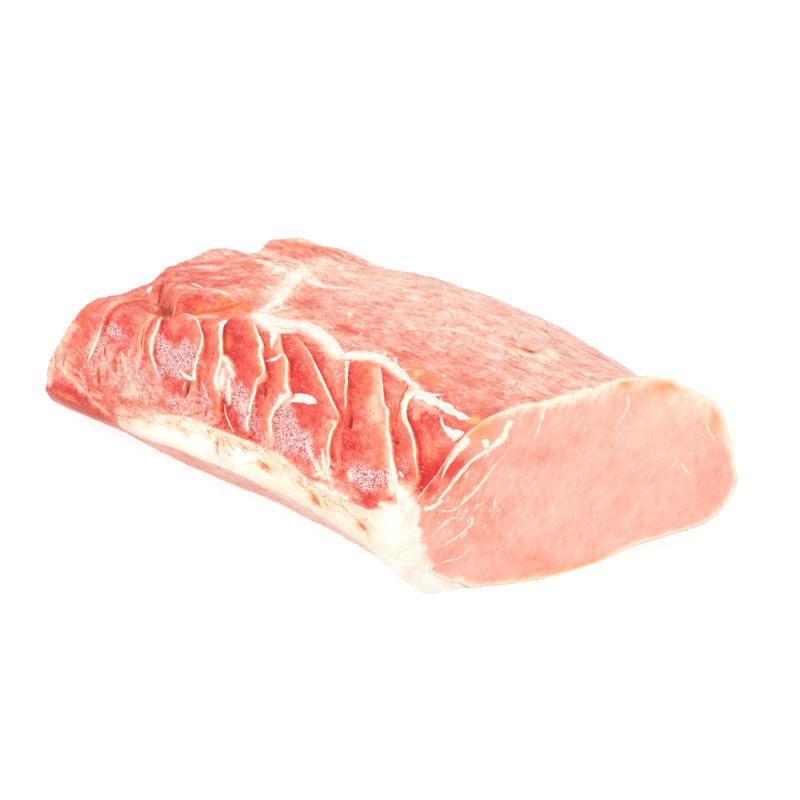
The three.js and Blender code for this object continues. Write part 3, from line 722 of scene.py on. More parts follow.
class Finish:
    """A material with one Principled shader, and short calls that add the nodes feeding it."""

    def __init__(self, name):
        self.material = bpy.data.materials.new(name)
        self.material.use_nodes = True
        self.tree = self.material.node_tree
        self.shader = self.tree.nodes["Principled BSDF"]
        self.place = self.node("ShaderNodeTexCoord").outputs["Object"]

    def feed(self, socket, value):
        """Links a socket to another, or sets its value; colours may leave out alpha."""
        if isinstance(value, bpy.types.NodeSocket):
            self.tree.links.new(value, socket)
        elif hasattr(socket.default_value, "__len__") and len(value) == 3 and len(socket.default_value) == 4:
            socket.default_value = (*value, 1)
        else:
            socket.default_value = value

    def node(self, kind, settings=(), **inputs):
        """A node with those settings; an input is named as Blender does, with _ for a space."""
        made = self.tree.nodes.new(kind)
        for key, value in dict(settings).items():
            setattr(made, key, value)
        for key, value in inputs.items():
            self.feed(made.inputs[key.replace("_", " ")], value)
        return made

    def field(self, name):
        """One of the mesh's named fields."""
        return self.node("ShaderNodeAttribute", {"attribute_name": name}).outputs["Fac"]

    def grain(self, size, detail=3.0, roughness=0.55, turned=(0, 0, 0), warp=0.0):
        """Cloudy noise around 0.5 with cells of that many millimetres along x, y and z, turned as given."""
        place = self.node("ShaderNodeMapping", {"vector_type": "TEXTURE"}, Vector=self.place,
                          Scale=[length * MM for length in size], Rotation=turned).outputs[0]
        return self.node("ShaderNodeTexNoise", Vector=place, Scale=1.0, Detail=detail,
                         Roughness=roughness, Distortion=warp).outputs["Fac"]

    def sum(self, *values):
        """All the values added up."""
        total = values[0]
        for value in values[1:]:
            total = self.math("ADD", total, value)
        return total

    def math(self, operation, first, second):
        """One of Blender's sums with two values, named as Blender does."""
        made = self.node("ShaderNodeMath", {"operation": operation})
        self.feed(made.inputs[0], first)
        self.feed(made.inputs[1], second)
        return made.outputs[0]

    def times(self, first, second):
        """Two values multiplied."""
        return self.math("MULTIPLY", first, second)

    def sway(self, noise, amount):
        """Noise moved to swing by that amount to both sides of 0."""
        return self.times(self.math("SUBTRACT", noise, 0.5), 2 * amount)

    def rough(self, value, *noises):
        """A value roughened by noises, given as (noise, amount that it swings by)."""
        return self.sum(value, *[self.sway(noise, amount) for noise, amount in noises])

    def between(self, share, first, second):
        """First value where the share is 0, second where it is 1."""
        return self.sum(first, self.times(share, self.math("SUBTRACT", second, first)))

    def creased(self, noise, width):
        """1 along the lines where a noise crosses its middle, falling to 0 over that width of noise."""
        off = self.math("ABSOLUTE", self.math("SUBTRACT", noise, 0.5), 0)
        return self.step(off, width, 0)

    def step(self, value, low, high, to_low=0.0, to_high=1.0):
        """Eased step of a value from one level to another."""
        return self.node("ShaderNodeMapRange", {"interpolation_type": "SMOOTHSTEP"}, Value=value,
                         From_Min=low, From_Max=high, To_Min=to_low, To_Max=to_high).outputs[0]

    def mixed(self, share, first, second):
        """Two colours mixed, the second by that share."""
        made = self.node("ShaderNodeMix", {"data_type": "RGBA"})
        self.feed(made.inputs[0], share)
        self.feed(made.inputs[6], first)
        self.feed(made.inputs[7], second)
        return made.outputs[2]

    def ramp(self, value, stops):
        """Colours spread along a value, given as (level, colour)."""
        made = self.node("ShaderNodeValToRGB", Fac=value)
        spread = made.color_ramp.elements
        while len(spread) < len(stops):
            spread.new(0.5)
        for element, (level, colour) in zip(spread, stops):
            element.position = level
            element.color = (*colour, 1)
        return made.outputs["Color"]

    def surface(self, colour, roughness, height, depth, subsurface, coat):
        """Moist flesh: colour, roughness and relief from nodes, over light that spreads inside."""
        self.feed(self.shader.inputs["Base Color"], colour)
        self.feed(self.shader.inputs["Roughness"], roughness)
        bump = self.node("ShaderNodeBump", Strength=1.0, Distance=depth * MM, Height=height)
        self.feed(self.shader.inputs["Normal"], bump.outputs[0])
        self.shader.inputs["Subsurface Weight"].default_value = subsurface
        self.shader.inputs["Subsurface Radius"].default_value = (1.0, 0.35, 0.2)
        self.shader.inputs["Subsurface Scale"].default_value = 2 * MM
        self.shader.inputs["Specular IOR Level"].default_value = 0.22
        self.shader.inputs["Coat Weight"].default_value = coat
        self.shader.inputs["Coat Roughness"].default_value = 0.2
        return self.material


FLESH = [
    (0.0, (0.64, 0.025, 0.022)), (0.14, (0.76, 0.055, 0.042)), (0.36, (0.79, 0.125, 0.085)),
    (0.55, (0.84, 0.24, 0.165)), (0.70, (0.885, 0.385, 0.29)), (0.86, (0.915, 0.56, 0.45)),
    (1.0, (0.93, 0.72, 0.60)),
]
PEACH = (0.93, 0.64, 0.47)
CREAM = (0.94, 0.82, 0.66)
WHITE_FAT = (0.95, 0.91, 0.84)
ORANGE = (0.90, 0.21, 0.07)
CREVICE_SHADE_BROWN = (0.34, 0.02, 0.01)
CRIMSON = (0.44, 0.045, 0.05)
PINK = (0.83, 0.29, 0.26)
PAINTED_GLINT = (0.93, 0.84, 0.84)
AMBER = (0.95, 0.48, 0.20)
FOLD_SHADE_RED = (0.82, 0.16, 0.09)
PAD_GRAIN = (0, np.radians(25), np.radians(-15))  # how the fibres of the pads are turned


def skin_finish():
    """The skin's colour runs from deep red to peach with the tone, broken up by clouds and by fibres that run
    along the loin on top and slant down the pads. Over it lie, in this order, pale threads, wrinkle lines
    darkened as painted shade, painted light along the ridges, orange, painted shade in the crevices, webs of
    fat, painted glints and veils of fat."""
    it = Finish("moist_lean")
    side = it.field("side")
    lip = it.field("lip")
    clouds = it.grain((9, 7, 7), 4)
    blotches = it.grain((5, 2.5, 2.5), 3, 0.6, warp=0.5)
    on_top = it.grain((8, 1.1, 1.1), 6, 0.65, warp=1.0)
    fibres = it.between(side, on_top, it.grain((5, 0.8, 0.8), 5, 0.65, PAD_GRAIN, 0.8))
    threads = it.grain((6, 0.7, 0.7), 3, 0.5, warp=0.6)
    fine = it.grain((1.6, 1.3, 1.3), 4, 0.65)
    dots = it.grain((0.8, 0.62, 0.62), 1, 0.5)
    folds = it.creased(it.grain((11, 2.6, 2.6), 3, 0.55, warp=0.7), 0.03)
    wrinkles = it.times(it.times(folds, it.step(blotches, 0.4, 0.6)), it.step(side, 0.8, 0.2, 0.3, 1))

    uneven = it.rough(it.sway(clouds, 0.28), (blotches, 0.32), (fibres, 0.56), (fine, 0.28))
    uneven = it.times(uneven, it.step(lip, 0, 1, 1, 0.4))
    colour = it.ramp(it.sum(it.field("tone"), uneven), FLESH)
    colour = it.mixed(it.times(it.step(threads, 0.6, 0.74, 0, 0.7), it.step(lip, 1, 0)), colour, PEACH)
    # Painted shade: the fold lines of the wrinkles darkened to red
    colour = it.mixed(it.times(wrinkles, 0.7), colour, FOLD_SHADE_RED)

    # Painted light along the ridges: orange, then peach
    halo = it.rough(it.field("halo"), (blotches, 0.3), (fine, 0.2))
    colour = it.mixed(it.step(halo, 0.12, 0.5, 0, 0.6), colour, ORANGE)
    colour = it.mixed(it.step(halo, 0.4, 0.95, 0, 0.85), colour, PEACH)
    glow = it.times(it.field("glow"), it.step(clouds, 0.3, 0.6, 0.5, 1.0))
    colour = it.mixed(it.step(glow, 0.1, 0.5, 0, 0.75), colour, ORANGE)
    colour = it.mixed(it.step(it.rough(glow, (fine, 0.4)), 0.48, 0.85, 0, 0.9), colour, AMBER)
    # Painted shade: the crevices and the hollow under the cap darkened to brown-red
    deep = it.rough(it.field("shaded_crevice"), (fine, 0.12))
    colour = it.mixed(it.step(deep, 0.35, 0.85), colour, CREVICE_SHADE_BROWN)

    webs = it.creased(it.grain((4.5, 1.6, 1.6), 3, 0.6, PAD_GRAIN, 1.2), 0.1)
    webs = it.times(it.step(it.rough(it.field("web"), (blotches, 0.5)), 0.3, 0.8), webs)
    colour = it.mixed(it.times(webs, 0.7), colour, CREAM)
    # Painted glints: white, pink and dark red specks over the wet patches
    glint_patch = it.rough(it.field("grit_and_painted_glint"), (blotches, 0.35), (fine, 0.2))
    salt = it.rough(dots, (it.grain((2.8, 1.3, 1.3), 3, 0.6, PAD_GRAIN), 0.18))
    painted_glints = it.ramp(salt, [(0.37, CRIMSON), (0.46, PINK), (0.51, PINK), (0.58, PAINTED_GLINT)])
    colour = it.mixed(it.step(glint_patch, 0.25, 0.7, 0, 0.9), colour, painted_glints)
    veil = it.rough(it.field("veil"), (clouds, 0.3), (fine, 0.3), (fibres, 0.4))
    fat = it.mixed(it.step(fine, 0.35, 0.65), CREAM, WHITE_FAT)
    colour = it.mixed(it.step(veil, 0.1, 0.6, 0, 0.6), colour, PEACH)
    colour = it.mixed(it.step(veil, 0.5, 0.9, 0, 0.9), colour, fat)

    height = it.sum(it.times(fibres, 0.5), it.times(fine, 0.4), it.times(threads, 0.3))
    height = it.sum(height, it.times(it.times(dots, glint_patch), 0.9), it.times(wrinkles, -0.5))
    dry = it.step(it.field("shaded_crevice"), 0.2, 0.7, 0, 0.4)
    roughness = it.sum(it.step(fine, 0.3, 0.7, 0.34, 0.5), dry)
    return it.surface(colour, roughness, height, 0.5, 0.12, 0.04)


CUT_FLESH = [
    (0.0, (0.84, 0.08, 0.06)), (0.2, (0.90, 0.29, 0.19)), (0.44, (0.91, 0.42, 0.32)),
    (0.68, (0.92, 0.54, 0.43)), (1.0, (0.93, 0.67, 0.55)),
]
CUT_YELLOW = (0.94, 0.74, 0.50)
CUT_RIM = (0.94, 0.84, 0.66)
CUT_ORANGE = (0.91, 0.35, 0.12)
MARBLING = (0.95, 0.82, 0.72)
CUT_SLOPE = np.radians(57)  # of the streaks in a cut


def cut_finish():
    """A clean knife cut: pale pink, mottled, with faint slanting streaks that are thickest towards the front,
    yellower high at the back, pale towards the rim and orange in a few places there."""
    it = Finish("cut_lean")
    slant = (CUT_SLOPE, 0, 0)
    clouds = it.grain((14, 14, 14), 4)
    cells = it.grain((4, 5, 2.2), 3, 0.6, slant)
    streaks = it.grain((3, 4.0, 0.8), 3, 0.55, slant, warp=0.5)
    drips = it.grain((3, 7, 1.8), 3, 0.6, slant, warp=0.4)
    fine = it.grain((1.2, 1.2, 1.2), 3, 0.6)
    across = it.node("ShaderNodeSeparateXYZ", Vector=it.place).outputs
    front = it.step(across["Y"], 0.01, -0.055)
    level = it.rough(it.field("tone"), (clouds, 0.4), (cells, 0.42), (streaks, 0.2))
    level = it.sum(level, it.times(front, -0.12))
    colour = it.ramp(it.sum(it.times(level, 0.8), 0.2), CUT_FLESH)
    high_back = it.times(it.step(across["Y"], 0.02, 0.08), it.step(across["Z"], 0.035, 0.075))
    colour = it.mixed(it.times(high_back, 0.7), colour, CUT_YELLOW)
    dense = it.rough(it.step(across["Y"], 0.05, -0.04, -0.03, 0.05), (clouds, 0.12))
    marbled = it.step(it.sum(streaks, dense), 0.66, 0.8)
    colour = it.mixed(it.times(marbled, 0.6), colour, MARBLING)
    rim = it.rough(it.field("rim"), (clouds, 0.9), (drips, 1.3), (fine, 0.4))
    colour = it.mixed(it.step(rim, -0.5, 0.9, 0, 0.95), colour, CUT_RIM)
    glow = it.times(it.field("glow"), it.step(clouds, 0.3, 0.6, 0.5, 0.95))
    colour = it.mixed(glow, colour, CUT_ORANGE)
    height = it.sum(it.times(cells, 0.5), it.times(fine, 0.3))
    roughness = it.step(fine, 0.3, 0.7, 0.4, 0.55)
    return it.surface(colour, roughness, height, 0.4, 0.25, 0.06)


lean.data.materials.append(skin_finish())
lean.data.materials.append(cut_finish())
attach(lean, "root")
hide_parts("lean_loin")

# The fat strip
# Back fat that was trimmed to a band along the lower front edge: firm, white and waxy. It grows on the lean,
# lies in its groove, and shows its thickness at the near cut.
FAT_BULGE = 1.8
FAT_NOTCH = 0.533  # share of the length where the band is pinched
NOTCH_DEPTH = 1.2
NOTCH_WIDTH = 0.012
FAT_BUMPS = [(0.5, 16, 8), (0.35, 6, 4)]  # height, length and width
PIT_DEPTH = 1.4
FAT_PITS = [
    (0.538, 2.2, 2.6, 6, -0.5, 0.85), (0.667, 2.2, 5, 2.0, -2), (0.797, 1.9, 4, 2.8, -1.3),
    (0.912, 1.73, 4, 1.8, -1.5),
]


def fat_swell(s, v, f):
    """How far the fat stands off the skin at share f of its height: an arch with uneven bumps, pinched at the
    notch and dented at the pits."""
    arch = np.clip(4 * f * (1 - f), 0, 1)
    bulge = (FAT_BULGE - NOTCH_DEPTH * bell(s, FAT_NOTCH, NOTCH_WIDTH)) * eased(s, FAT_TIP, 0.45)
    uneven = sum(height * lumps(s, v, along, around) for height, along, around in FAT_BUMPS)
    return arch * (bulge + uneven - PIT_DEPTH * spots(s, v, FAT_PITS))


first = int(np.argmax(row_rest >= FAT_TIP))
fat_s = s[first:, :FAT_COLUMNS + 1]
fat_v = v[first:, :FAT_COLUMNS + 1]
fat_f = fat_share[first:, :FAT_COLUMNS + 1]
fat_outer = skin(fat_s, fat_v, relief(fat_s, fat_v) + fat_swell(fat_s, fat_v, fat_f))
fat_inner = skin(fat_s, fat_v, relief(fat_s, fat_v) - fat_depth(fat_s, fat_f))
outer_numbers = np.arange(fat_s.size).reshape(fat_s.shape)
own_inner = np.zeros(fat_s.shape, bool)
own_inner[1:, 1:-1] = True
inner_numbers = outer_numbers.copy()
inner_numbers[own_inner] = fat_s.size + np.arange(own_inner.sum())


def open_quads(rows):
    """Quads between rows of point numbers that don't close on themselves."""
    return np.stack([rows[:-1, :-1], rows[1:, :-1], rows[1:, 1:], rows[:-1, 1:]], axis=-1).reshape(-1, 4)


fat_end = open_quads(np.stack([outer_numbers[-1], inner_numbers[-1]]))
fat_quads = np.concatenate([open_quads(outer_numbers), open_quads(inner_numbers)[:, ::-1], fat_end[1:-1]])
fat_corners = np.array([fat_end[0][[0, 2, 3]], fat_end[-1][[0, 1, 2]]])


def inside_too(values):
    """A field of the fat: its values on the outside, then those of the points of the inside."""
    return np.concatenate([values.ravel(), values[own_inner]])


fat = mesh_piece(
    "back_fat",
    np.concatenate([fat_outer.reshape(-1, 3), fat_inner[own_inner]]),
    [fat_quads, fat_corners],
    {
        "height": inside_too(fat_f),
        "along": inside_too(fat_s),
        "pit": inside_too(spots(fat_s, fat_v, FAT_PITS)),
    },
)


FAT_GRAIN = (0, np.radians(8), 0)  # how its threads are turned
FAT_WHITE = (0.93, 0.90, 0.82)
FAT_CREAM = (0.93, 0.80, 0.65)
FAT_STRAW = (0.92, 0.73, 0.53)
FAT_PINK = (0.92, 0.58, 0.46)
FAT_SHADE_PEACH = (0.93, 0.70, 0.54)
TORN_BEIGE = (0.92, 0.60, 0.42)
TORN_BROWN = (0.66, 0.26, 0.10)
PIT_ORANGE = (0.90, 0.52, 0.26)
PIT_RED = (0.74, 0.18, 0.05)


def fat_finish():
    """Waxy white with cream patches, straw along the near half and pink at the tip. Over that lie a beige
    border with brown tears along the upper edge, which ends before the near cut, peach painted shade below,
    and the pits."""
    it = Finish("waxy_fat")
    clouds = it.grain((12, 6, 6), 4)
    fine = it.grain((2.5, 1.2, 1.2), 4, 0.6)
    threads = it.grain((9, 1.0, 1.0), 4, 0.6, FAT_GRAIN, 0.6)
    torn = it.creased(it.grain((16, 3, 3), 3, 0.55, FAT_GRAIN, 0.8), 0.035)
    along = it.field("along")
    up = it.field("height")
    colour = it.mixed(it.step(it.rough(clouds, (fine, 0.1)), 0.46, 0.66), FAT_WHITE, FAT_CREAM)
    near_half = it.times(it.step(it.rough(along, (clouds, 0.08)), 0.6, 0.7), it.step(along, 0.995, 0.94))
    colour = it.mixed(it.times(near_half, it.step(threads, 0.3, 0.65, 0.25, 0.75)), colour, FAT_STRAW)
    colour = it.mixed(it.step(it.rough(along, (threads, 0.1)), 0.36, 0.26, 0, 0.8), colour, FAT_PINK)
    upper = it.step(it.rough(up, (fine, 0.3), (clouds, 0.4), (threads, 0.3)), 0.54, 0.88)
    upper = it.times(upper, it.step(along, 0.98, 0.9))
    colour = it.mixed(it.times(upper, it.step(threads, 0.35, 0.65, 0.3, 0.85)), colour, TORN_BEIGE)
    tears = it.times(it.times(upper, torn), it.step(clouds, 0.36, 0.56, 0.35, 1))
    colour = it.mixed(tears, colour, TORN_BROWN)
    # Painted shade: peach along the lower edge, where the fat turns under
    lower = it.step(it.rough(up, (clouds, 0.2)), 0.2, 0.0)
    colour = it.mixed(it.times(lower, it.step(along, 0.95, 0.8, 0, 0.6)), colour, FAT_SHADE_PEACH)
    pit = it.rough(it.field("pit"), (fine, 0.5), (threads, 0.5))
    colour = it.mixed(it.step(pit, 0.15, 0.6, 0, 0.75), colour, PIT_ORANGE)
    colour = it.mixed(it.step(pit, 0.5, 0.95, 0, 0.9), colour, PIT_RED)
    height = it.sum(it.times(clouds, 0.8), it.times(fine, 0.6), it.times(threads, 0.3))
    return it.surface(colour, it.step(fine, 0.3, 0.7, 0.38, 0.5), height, 0.6, 0.2, 0.1)


fat.data.materials.append(fat_finish())
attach(fat, "root")
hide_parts("fat_strip")

# The membranes
# White and cream threads of fat and torn membrane that stayed on the lean when the ribs were cut off: fine
# ones on the ridges, broader ones along the seam above the ribs. Each is a thin band grown to the skin.
BAND_ACROSS = np.array([-1, -0.75, -0.35, 0, 0.35, 0.75, 1, 0.5, -0.5])  # over the top, then back underneath
BAND_ARCH = np.array([0, 0.65, 0.95, 1, 0.95, 0.65, 0, 0, 0])
BAND_ROOT = np.array([-0.15, 0, 0, 0, 0, 0, -0.15, -0.7, -0.7])
BAND_STEP = 0.6
BAND_THICKNESS = 0.5
RIDGE_THICKNESS = 0.4
STREAMER_THICKNESS = 0.35
RIDGE_WHITENESS = 0.6
FLECK_WHITENESS = 0.4
FLECK_RUN = 0.009  # half length of a fleck, as a share of the length, for each millimetre of its half width
FLECK_RISE = 0.04  # stations that it rises over that
FLECK_TIP = 0.2
STREAMER_TIP = 0.1
RIDGE_SIDES = (1.1, 0.5)  # a band on a ridge thins out over the pad, so it reaches further to that side
# On the ridges: (number of the mark, [(station, half width in millimetres)])
RIDGE_BANDS = [
    (0, [(4.5, 0.2), (4.25, 0.4), (4.0, 0.7), (3.75, 0.9), (3.5, 1.3), (3.3, 1.3), (3.1, 0.8),
         (3.0, 0.2)]),
    (2, [(5.5, 0.2), (5.1, 0.7), (4.7, 1.2), (4.3, 1.5), (4.1, 1.2), (3.9, 0.9), (3.5, 0.3)]),
    (3, [(5.15, 0.5), (4.9, 0.7), (4.65, 0.9), (4.35, 0.9), (4.15, 1.1), (4.0, 1.3), (3.82, 0.8)]),
    (4, [(5.55, 2.2), (5.4, 1.9), (5.2, 1.5), (4.7, 1.0), (4.45, 1.1), (4.1, 1.1), (3.9, 0.8),
         (3.7, 0.3)]),
    (5, [(5.75, 0.3), (5.5, 0.8), (5.25, 1.1), (5.1, 1.2), (4.9, 1.0), (4.6, 0.7), (4.3, 0.7),
         (3.85, 0.9), (3.55, 1.0), (3.3, 0.9), (3.1, 0.6), (2.95, 0.2)]),
    (6, [(5.05, 0.7), (4.9, 0.6), (4.65, 0.7), (4.5, 1.2), (4.4, 1.4)]),
    (6, [(4.36, 1.4), (4.2, 1.6), (4.0, 1.3), (3.7, 1.0), (3.45, 1.0), (3.25, 0.7), (3.1, 0.2)]),
    (7, [(5.6, 0.2), (5.45, 0.5), (5.25, 0.5), (4.95, 0.7), (4.78, 0.8), (4.6, 0.6), (4.45, 0.4),
         (4.35, 0.2)]),
    (7, [(4.27, 0.3), (4.1, 0.8), (3.95, 1.0), (3.55, 0.8), (3.0, 0.7), (2.75, 0.8), (2.5, 1.1)]),
    (8, [(5.5, 1.2), (5.25, 0.9), (4.95, 0.6), (4.7, 0.35), (4.55, 0.2)]),
    (9, [(5.64, 0.2), (5.4, 0.45), (5.1, 0.55), (4.92, 0.8), (4.83, 0.9), (4.65, 0.6), (4.4, 0.8),
         (4.1, 1.0), (3.85, 1.2), (3.68, 1.8), (3.45, 2.2), (3.25, 2.3)]),
    (10, [(5.42, 2.0), (5.3, 2.2), (5.15, 1.9), (5.0, 1.4), (4.85, 1.2), (4.65, 1.0), (4.4, 0.6),
          (4.2, 0.5), (4.0, 0.3), (3.75, 0.2)]),
]
# Elsewhere: (whiteness, [(share of the length, station, half width)])
LOOSE_BANDS = [
    (1.0, [(0.358, 5.95, 0.8), (0.386, 5.96, 2.6), (0.43, 5.87, 3.4), (0.466, 5.95, 2.8),
           (0.513, 5.99, 2.0), (0.57, 5.88, 1.8), (0.61, 5.74, 1.6), (0.656, 5.56, 1.8)]),
    (1.0, [(0.652, 5.52, 1.6), (0.655, 5.66, 2.4), (0.664, 5.79, 2.6), (0.68, 5.86, 2.4),
           (0.697, 5.88, 1.8), (0.717, 5.87, 1.4), (0.745, 5.81, 1.3), (0.782, 5.7, 1.2),
           (0.815, 5.58, 1.0)]),
    (1.0, [(0.843, 5.3, 1.6), (0.845, 5.43, 2.8), (0.863, 5.47, 2.6), (0.889, 5.44, 2.0),
           (0.915, 5.4, 1.7), (0.94, 5.35, 1.7), (0.96, 5.32, 1.5), (0.975, 5.3, 0.5)]),
    (1.0, [(0.367, 6.06, 2.0), (0.352, 6.25, 1.6), (0.341, 6.44, 1.8), (0.326, 6.57, 1.2),
           (0.311, 6.75, 0.5)]),
    (0.4, [(0.228, 5.46, 0.3), (0.25, 5.47, 0.6), (0.282, 5.36, 0.7), (0.325, 5.1, 0.4)]),
    (0.9, [(0.455, 5.72, 1.5), (0.48, 5.55, 1.6), (0.505, 5.32, 1.1), (0.525, 5.12, 0.4)]),
    (0.8, [(0.41, 3.9, 0.7), (0.40, 3.82, 1.1), (0.378, 3.84, 0.9), (0.359, 3.93, 0.3)]),
    (0.5, [(0.388, 3.67, 0.3), (0.391, 3.5, 0.4), (0.394, 3.36, 0.2)]),
    (1.0, [(0.534, 4.82, 0.2), (0.544, 4.88, 0.9), (0.554, 4.94, 1.4), (0.558, 5.0, 1.5),
           (0.559, 5.05, 0.8)]),
    (0.9, [(0.02, 6.16, 0.4), (0.027, 6.1, 1.3), (0.034, 6.03, 0.5)]),
    (0.3, [(0.148, 6.18, 0.3), (0.165, 6.15, 0.9), (0.2, 6.1, 0.3)]),
    (1.0, [(0.628, 4.27, 1.2), (0.643, 4.36, 2.0), (0.668, 4.42, 1.8), (0.685, 4.46, 2.0),
           (0.703, 4.44, 0.5)]),
    (0.2, [(0.757, 4.2, 0.5), (0.767, 4.21, 1.4), (0.772, 4.28, 0.4)]),
    (0.6, [(0.70, 5.04, 0.2), (0.702, 5.1, 0.5), (0.706, 5.16, 0.3)]),
    (1.0, [(0.95, 3.35, 1.8), (0.97, 3.05, 2.1), (0.985, 2.86, 2.4), (0.997, 2.66, 2.6)]),
    (0.9, [(0.932, 3.69, 0.9), (0.945, 3.68, 1.1), (0.957, 3.62, 0.4)]),
    (0.7, [(0.93, 5.15, 0.3), (0.945, 5.03, 0.7), (0.963, 4.95, 1.1), (0.983, 4.91, 1.8),
           (0.997, 4.86, 2.6)]),
    (0.3, [(0.418, 3.88, 0.3), (0.434, 3.74, 0.4), (0.458, 3.5, 0.4), (0.493, 3.26, 0.2)]),
    (0.3, [(0.505, 3.5, 0.3), (0.52, 3.26, 0.4), (0.542, 2.98, 0.4), (0.567, 2.79, 0.2)]),
    (0.3, [(0.417, 3.54, 0.3), (0.416, 3.13, 0.2)]),
]
# Torn streaks that run on along the loin from a line: (line as share and station, count, millimetres)
STREAMERS = [
    ([(0.25, 7.4), (0.285, 6.8), (0.35, 6.15)], 30, 11),
    ([(0.2, 6.82), (0.25, 6.8), (0.3, 7.05)], 14, 9),
    ([(0.36, 6.0), (0.43, 5.95), (0.52, 6.0), (0.64, 5.64)], 22, 8),
    ([(0.66, 5.8), (0.7, 5.92), (0.78, 5.74)], 12, 6),
    ([(0.85, 5.52), (0.9, 5.47), (0.95, 5.36)], 10, 5),
]
# Single flecks: (share, station, half width)
FLECKS = [
    (0.52, 6.41, 1.1), (0.57, 6.27, 0.6), (0.603, 6.16, 0.6), (0.823, 6.02, 0.6), (0.909, 6.34, 0.8),
    (0.933, 6.32, 0.6), (0.863, 7.0, 0.8), (0.25, 6.38, 0.5), (0.264, 3.22, 0.8), (0.70, 8.6, 0.8),
    (0.42, 9.2, 0.9), (0.25, 8.9, 0.7), (0.58, 10.1, 0.8), (0.81, 9.7, 0.7),
]
ragged_draw = np.random.default_rng(5)


def flat_knots(knots):
    """Knots (share, station, half width) moved to the flat skin."""
    knots = np.array(knots)
    return np.column_stack([flat(knots[:, 0], knots[:, 1]), knots[:, 2]])


def ragged(count, step):
    """Random numbers from -1 to 1 that change along a band every so many steps, one column for each edge."""
    rough = ragged_draw.uniform(-1, 1, (count // step + 2, 2))
    place = np.linspace(0, len(rough) - 1, count)
    return np.stack([np.interp(place, np.arange(len(rough)), edge) for edge in rough.T], axis=1)


def band_loops(knots, lay, thickness, sides=(1, 1)):
    """Closed loops along a smooth line through flat knots (first, second, half width): the arched profile
    carried along the line with ragged edges, each side widened by its factor. lay turns flat places and
    heights into points."""
    knots = np.array(knots, float)
    length = np.linalg.norm(np.diff(knots[:, :2], axis=0), axis=1).sum()
    line = drawn(knots, max(int(length / BAND_STEP), 8))
    ahead = np.gradient(line[:, :2], axis=0)
    ahead /= np.linalg.norm(ahead, axis=1, keepdims=True)
    side = np.stack([-ahead[:, 1], ahead[:, 0]], axis=1)
    half = np.maximum(line[:, 2:], 0.1)
    torn = np.minimum(0.3 * half, 0.3) * ragged(len(line), 2)
    edges = (half * (1 + 0.35 * ragged(len(line), 6)) + torn) * sides
    reach = BAND_ACROSS * np.where(BAND_ACROSS < 0, edges[:, :1], edges[:, 1:])
    place = line[:, None, :2] + side[:, None] * reach[..., None]
    arch = BAND_ARCH * thickness * (0.25 + 0.18 * half)
    return lay(place, arch + BAND_ROOT)


def on_skin(place, lift, mark=None):
    """Points over flat places of the finished skin, on top of the fat where that lies. A band on a ridge
    keeps the ridge's height past it, so that its edge stands out over the next pad."""
    s = np.clip(place[..., 0] / LENGTH, 0.002, 0.998)
    v = np.interp(place[..., 1], GIRTH, LADDER)
    held = s if mark is None else np.minimum(s, marks_at(v)[mark] - 1e-5)
    low, high = eased_through(FAT_LOW, s), eased_through(FAT_HIGH, s)
    swell = fat_swell(s, v, (v - low) / (high - low)) * (s > FAT_TIP)
    points = skin(held, v, relief(held, v) + swell + lift)
    points[..., 0] += (s - held) * LENGTH
    return points


def loose_loops(knots, thickness=BAND_THICKNESS):
    """A band on the skin through knots (share, station, half width)."""
    return band_loops(flat_knots(knots), on_skin, thickness)


def ridge_loops(mark, knots, thickness=RIDGE_THICKNESS):
    """A band on a ridge through knots (station, half width), its right edge just past the ridge."""
    stations, halves = np.array(knots).T
    middle = flat(marks_at(stations)[mark], stations) - np.outer(0.3 * halves, (1, 0))
    knots = np.column_stack([middle, halves])
    return band_loops(knots, lambda place, lift: on_skin(place, lift, mark), thickness, RIDGE_SIDES)


def bands_piece(name, bands):
    """One mesh of closed bands, given as (loops, value): tubes with a fan over each end. The fields are the
    share of the way from a band's middle to its edges, below 0 to the left or always above 0, and the band's
    value, which fades where it is narrow."""
    points, quads, fans, edge, value = [], [], [], [], []
    for loops, amount in bands:
        start = sum(len(group) for group in points)
        rows = start + np.arange(loops.shape[0] * loops.shape[1]).reshape(loops.shape[:2])
        ends = rows[-1, -1] + 1, rows[-1, -1] + 2
        points.append(np.concatenate([loops.reshape(-1, 3), loops[[0, -1]].mean(axis=1)]))
        quads.append(strip_of_quads(rows))
        fans += [fan(rows[0], ends[0])[:, ::-1], fan(rows[-1], ends[1])]
        edge += [np.tile(BAND_ACROSS, len(loops)), np.ones(2)]
        width = np.linalg.norm(loops[:, BAND_ACROSS.argmax()] - loops[:, 0], axis=1)
        value += [np.repeat(amount * eased(width, 0.1, 1.2), loops.shape[1]), np.zeros(2)]
    across = np.concatenate(edge)
    fields = {"across": across, "edge": np.abs(across), "amount": np.concatenate(value)}
    return mesh_piece(name, np.concatenate(points), [np.concatenate(quads), np.concatenate(fans)], fields)


